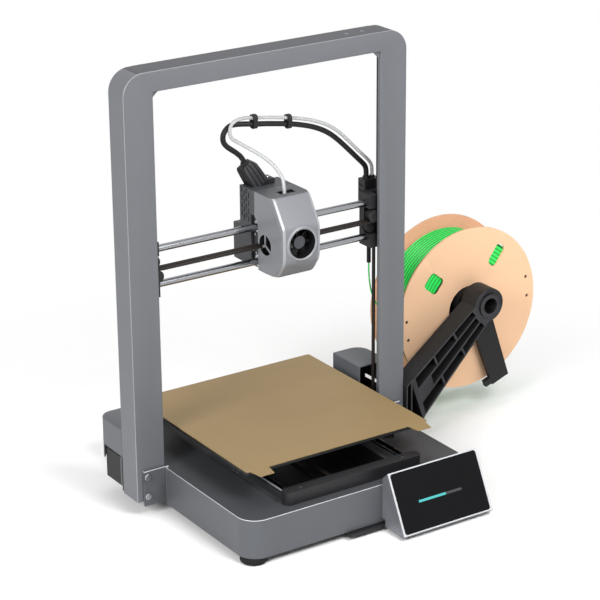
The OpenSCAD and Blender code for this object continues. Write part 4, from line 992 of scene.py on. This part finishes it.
def dress_plug():
    """The boot of the cable: a tapered block with ridges along it, on its bracket."""
    lean = math.radians(-32)
    axis = Vector((math.sin(lean), 0, math.cos(lean)))
    across = Vector((math.cos(lean), 0, -math.sin(lean)))
    foot = point_mm(4, 42, 344)
    taper = [(-7, 0.0), (1, 0.0), (9, 0.3), (17, 0.8), (20.8, 2.0), (22.0, 4.2), (22.4, 5.6)]
    boot = ring_mesh("cable_plug_skin", [
        ridged_ring(foot + axis * up * MM, across, Y, (10 - slim) * MM, (9 - slim) * MM, 1.1 * MM)
        for up, slim in taper])
    place_by("cable_plug", smooth(boot, 30), [black_plastic, ridge_flank_highlight], ["cable_plug"])
    # Every other face, one flank of each ridge, is painted lighter grey as a painted highlight.
    for face in boot.data.polygons:
        face.material_index = face.index % 2
    outline = [(4.4 * MM, 21 * MM), (4.4 * MM, 24.6 * MM), (3.9 * MM, 25.2 * MM)]
    place_by("cable_plug", smooth(lathe("plug_neck", outline, 24, foot, axis)), [black_plastic])
    bracket = box_object("plug_bracket", point_mm(-3, 34, 337), point_mm(26, 50, 343))
    place_by("cable_plug", soften(bracket, 0.7 * MM), [black_plastic])


def seat(node, start, direction):
    """Where a line from a point first meets a CAD node."""
    mesh = NODES[node].data
    tree = BVHTree.FromPolygons([v.co for v in mesh.vertices], [p.vertices for p in mesh.polygons])
    return tree.ray_cast(start, direction)[0]


def dress_head():
    """The toolhead: shroud, rear cover, what they hold, and the small screws."""
    dress_shroud()
    dress("head_rear_cover", [rear_plastic], 0.8)
    low, high, _ = span("head_rear_cover")
    # Thin black sheets inside the rear cover behind its slots are painted shade, so that the slots read dark.
    for side, x in (("left", low.x + SHADE_SHEET_IN), ("right", high.x - SHADE_SHEET_IN - SHADE_SHEET_T)):
        shade_sheet = box_object("slot_liner_" + side, Vector((x, SLOTS_Y[0], high.z - SLOTS_DOWN[0])),
                           Vector((x + SHADE_SHEET_T, SLOTS_Y[1], high.z - SLOTS_DOWN[1])))
        place_by("head_rear_cover", shade_sheet, [painted_shade_black])
    dress_all([("head_carriage", black_plastic, 0.6), ("x_bearings", turned_steel, 0.5),
               ("extruder_motor", motor_black, 0.5), ("feed_gear", turned_steel, 0.15),
               ("hotend", hot_alloy, 0.2), ("nozzle", brass, 0.1), ("fan_frame", fan_black, 0.4)])
    dress_plug()
    dress("cable_clips", [black_plastic], 0.5)
    # A black disc at the back of the fan is painted shade, standing where the inside of the head lies in
    # shade.
    x, _, z = point_mm(*FAN)
    shade_disc = lathe("fan_back", [(FAN_SHADE_DISC_R, -0.5 * MM), (FAN_SHADE_DISC_R, 0)], 48,
                       Vector((x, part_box("fan_frame")[1].y, z)), Y)
    place_by("fan_frame", smooth(shade_disc), [fan_black])
    hub_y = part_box("fan_rotor")[0].y + 0.4 * MM
    dress("fan_rotor", [fan_black, hub_grey], 0.15,
          lambda center, normal: int(center.y < hub_y and normal.y < -0.7))
    foot_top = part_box("head_shroud")[1].z / MM + 6
    screws("head_screws", "head", turned_steel, 2.2, [(point_mm(21, 42, foot_top), Z)])
    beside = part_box("head_carriage")[0].x - 20 * MM
    found = [seat("head_carriage", Vector((beside, y * MM, z * MM)), X) for y, z in CARRIAGE_SCREWS]
    screws("carriage_screws", "head", turned_steel, 1.5, [(p, -X) for p in found if p])


dress_head()


# Cords

HARNESS = [(-9, 42, 366), (-13, 42, 372), (-19, 42, 377.5), (-25, 42, 382), (-31, 42, 387),
           (-34.5, 42, 392.5), (-34.5, 42, 399.5), (-31, 42, 405), (-25.5, 42, 408.5), (-18.5, 42, 409),
           (-8, 41, 408), (3, 39.5, 406.5), (18, 39, 404.5), (33, 39, 402), (47, 39, 399.5),
           (62, 39, 396), (77, 39, 391.5), (90, 38.5, 386), (101, 38, 379.5), (111, 38, 371.5),
           (120, 37.5, 363), (128.5, 37, 354.5), (137, 37, 346), (145.5, 37, 337.5), (149, 37, 332.5),
           (150, 37, 327), (150, 37, 322)]
FEED_TUBE = [(16, 0, 335), (16, 1, 343), (17, 5, 351), (15, 11, 359), (11, 17, 366), (5, 23, 372.5),
             (-3, 28, 379), (-11, 32, 384.5), (-19, 35, 390), (-26.5, 36, 395.5), (-29.5, 36, 401),
             (-29.5, 36, 407), (-26.5, 36, 412.5), (-21, 36, 415.5), (-15, 36.5, 416), (-7, 38, 415.5),
             (3, 39.5, 413.5), (18, 39, 411.5), (33, 39, 409), (47, 39, 406.5), (62, 39, 403),
             (78, 38.5, 398.5), (94, 38, 392), (106, 38, 385), (117, 37.5, 376), (126.5, 37, 366.5),
             (135, 37, 358), (143.5, 37, 349.5), (152, 37, 341), (157, 37, 334), (158, 37, 327),
             (158, 37, 322)]
STRAND = [(147, 27, 232), (147, 27, 222), (147, 27, 215), (148, 28, 207), (149.5, 29, 199),
          (152, 31, 191), (155.5, 34, 183), (160, 37, 175), (165.5, 41, 167), (172, 46, 159),
          (179.5, 51, 152), (187, 55, 145), (194.5, 59, 139), (202, 62, 133), (207, 63, 127),
          (210, 64, 120), (212.5, 64, 113)]


def cord(name, node, route, diameter, sides, material):
    """A swept cord along a route, in place of a CAD node."""
    line = fine_line([point_mm(*p) for p in route], 5)
    made = smooth(ring_mesh(name, tube_rings(line, diameter / 2, sides)), 60)
    made.data.materials.append(material)
    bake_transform(made)
    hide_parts(node)
    return made


cord("harness", "harness_cable", HARNESS, 6 * MM, 16, cable_black)
cord("white_tube", "feed_tube", FEED_TUBE, 4 * MM, 14, tube_white)
cord("free_filament", "filament_strand", STRAND, FILAMENT_D, 10, filament_green)


# Spool and its holder

RIB_DEPTH = 4 * MM
PIN_R, PIN_IN = 1.95 * MM, 10 * MM
PIN_TURNS = (-2, 14, 179, 194)
HALF_CARD = 1.25 * MM
TURNS, TURN_STEPS = 24, 72


def dress_arm():
    """The arm: its ribs' front faces are painted lighter as a painted highlight, and the pockets between them
    are painted black as painted shade.
    """
    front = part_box("spool_arm")[0].y

    def arm_pick(center, normal):
        if normal.y > -0.9:
            return 0
        if center.y < front + RIB_DEPTH:
            return 1
        return 2 if center.x < SPOOL_CENTRE.x - 2 * MM else 0

    dress("spool_arm", [dark_plastic, rib_face_highlight, painted_shade_black], 0.7, arm_pick)
    dress("spool_rod", [dark_plastic], 0.8)


def dress_card():
    """The card spool, with small pin holes near both rims closed by dark discs as painted shade."""
    low, high, _ = span("spool")
    rim = (high.x - low.x) / 2

    def card_pick(center, normal):
        reach = math.hypot(center.x - SPOOL_CENTRE.x, center.z - SPOOL_CENTRE.z)
        # The bore's dark colour is partly the darker card of the core and partly painted shade.
        if abs(normal.y) < 0.5:
            return 2 if reach > 0.6 * rim else 3
        # The inner face of the far flange is painted lighter, as painted light against the shade between the
        # flanges.
        return 1 if center.y > SPOOL_CENTRE.y and normal.y < 0 else 0

    dress("spool", [spool_card, card_inner_painted_light, card_edge, bore_card_and_shade], 0.35, card_pick)
    disc = lathe("pin_hole", [(PIN_R, -0.4 * MM), (PIN_R, 0.4 * MM)], 20, Vector(), Z)
    rows = []
    for turn in PIN_TURNS:
        out = (X * math.cos(math.radians(turn)) + Z * math.sin(math.radians(turn))) * (rim - PIN_IN)
        for y in (low.y + HALF_CARD, high.y - HALF_CARD):
            rows.append((Vector((SPOOL_CENTRE.x, y, SPOOL_CENTRE.z)) + out, -Y, X))
    holes = repeat("pin_holes", disc, bore_card_and_shade, rows)
    bpy.data.objects.remove(disc)
    place_by("spool", holes, [bore_card_and_shade])


def dress_winding():
    """The filament on the spool: its inner layers, and the outer layer as one tube in even turns."""
    # The core's round face, seen between the outer turns, is painted dark green as painted shade.
    dress("winding_core", [filament_side, filament_gap_shade], 0.4,
          lambda center, normal: int(abs(normal.y) < 0.5))
    low, high, _ = span("filament_winding")
    radius = FILAMENT_D / 2
    reach = (high.x - low.x) / 2 - radius
    first, last = low.y + radius, high.y - radius
    line = []
    for i in range(TURNS * TURN_STEPS + 1):
        angle = 2 * math.pi * i / TURN_STEPS
        along = first + (last - first) * i / (TURNS * TURN_STEPS)
        line.append(Vector((SPOOL_CENTRE.x + reach * math.cos(angle), along,
                            SPOOL_CENTRE.z + reach * math.sin(angle))))
    wound = smooth(ring_mesh("outer_layer", tube_rings(line, radius, 8)), 60)
    banded = turns_material("filament_turns", FILAMENT_COLOUR, first, 2 * (last - first) / TURNS)
    place(wound, "spool", [banded], ["filament_winding"])


dress_arm()
dress_card()
dress_winding()
dress("electronics", [zinc_sheet, board_green], 0.4, lambda center, normal: int(center.x >= 0))


# Floor, light and camera

WHITE = (1.0, 1.0, 1.0, 1.0)
LENS, ROLL = 132.71, -0.456
VIEW_FROM, VIEW_TO = (-1224.4, -1907.1, 1078.5), (24.65, -15.63, 215.64)


def backdrop_share(tree, near, level):
    """The near value where the camera, a reflection or clear material sees it, the level elsewhere."""
    ray = add_node(tree, "ShaderNodeLightPath").outputs
    mirrored = maths(tree, "MAXIMUM", ray["Is Glossy Ray"], ray["Is Transmission Ray"])
    seen = maths(tree, "MAXIMUM", ray["Is Camera Ray"], mirrored)
    return map_range(tree, seen, (0.0, 1.0), (level, near))


def make_stage():
    """A pale floor that keeps the shadow near the machine and turns plain white further out."""
    bm = bmesh.new()
    bmesh.ops.create_grid(bm, x_segments=1, y_segments=1, size=6.0)
    floor = new_object("floor", bm)
    pale = surface("pale_floor", (252, 252, 252), 0.8, grain=(40, 0.00001), drift=0.01, edge=0.0, shine=0.0)
    tree = pale.node_tree
    away = vectors(tree, "LENGTH", object_place(tree)).outputs["Value"]
    fade = map_range(tree, away, (0.2, 0.7), (0.0, 1.0), interpolation_type="SMOOTHSTEP")
    white = add_node(tree, "ShaderNodeEmission", links=[("Color", WHITE)])
    share = backdrop_share(tree, fade, 0.0)
    mixed = add_node(tree, "ShaderNodeMixShader", links=[
        (0, share), (1, tree.nodes["Principled BSDF"].outputs[0]), (2, white.outputs[0])])
    tree.links.new(mixed.outputs[0], tree.nodes["Material Output"].inputs["Surface"])
    floor.data.materials.append(pale)


def area_light(name, where, target, size, power):
    lamp = bpy.data.lights.new(name, "AREA")
    lamp.shape = "DISK"
    lamp.size = size
    lamp.energy = power
    made = add_object(name, lamp)
    made.location = where
    made.rotation_euler = (Vector(target) - Vector(where)).to_track_quat("-Z", "Y").to_euler()


def make_light():
    """A white surround, a large lamp at the left, one above and a small one close in front."""
    world = bpy.data.worlds.new("studio")
    bpy.context.scene.world = world
    world.use_nodes = True
    background = world.node_tree.nodes["Background"]
    background.inputs["Color"].default_value = WHITE
    world.node_tree.links.new(backdrop_share(world.node_tree, 1.0, 0.42), background.inputs["Strength"])
    middle = (0.03, 0.0, 0.25)
    area_light("key", (-2.7, -1.0, 1.65), middle, 1.4, 80)
    area_light("top", (0.2, 0.2, 3.2), middle, 1.8, 20)
    area_light("front", (0.1, -0.8, 0.88), middle, 0.5, 8)
    bpy.context.scene.view_settings.view_transform = "Standard"


def make_camera():
    """The photograph's view: a long lens from the front left, a little above."""
    lens = bpy.data.cameras.new("view")
    lens.sensor_width = 36.0
    lens.lens = LENS
    lens.clip_end = 50.0
    made = add_object("view", lens)
    made.location = point_mm(*VIEW_FROM)
    aim = point_mm(*VIEW_TO) - made.location
    turned = aim.to_track_quat("-Z", "Y").to_matrix() @ Matrix.Rotation(math.radians(ROLL), 3, "Z")
    made.rotation_euler = turned.to_euler()
    bpy.context.scene.camera = made


make_stage()
make_light()
make_camera()
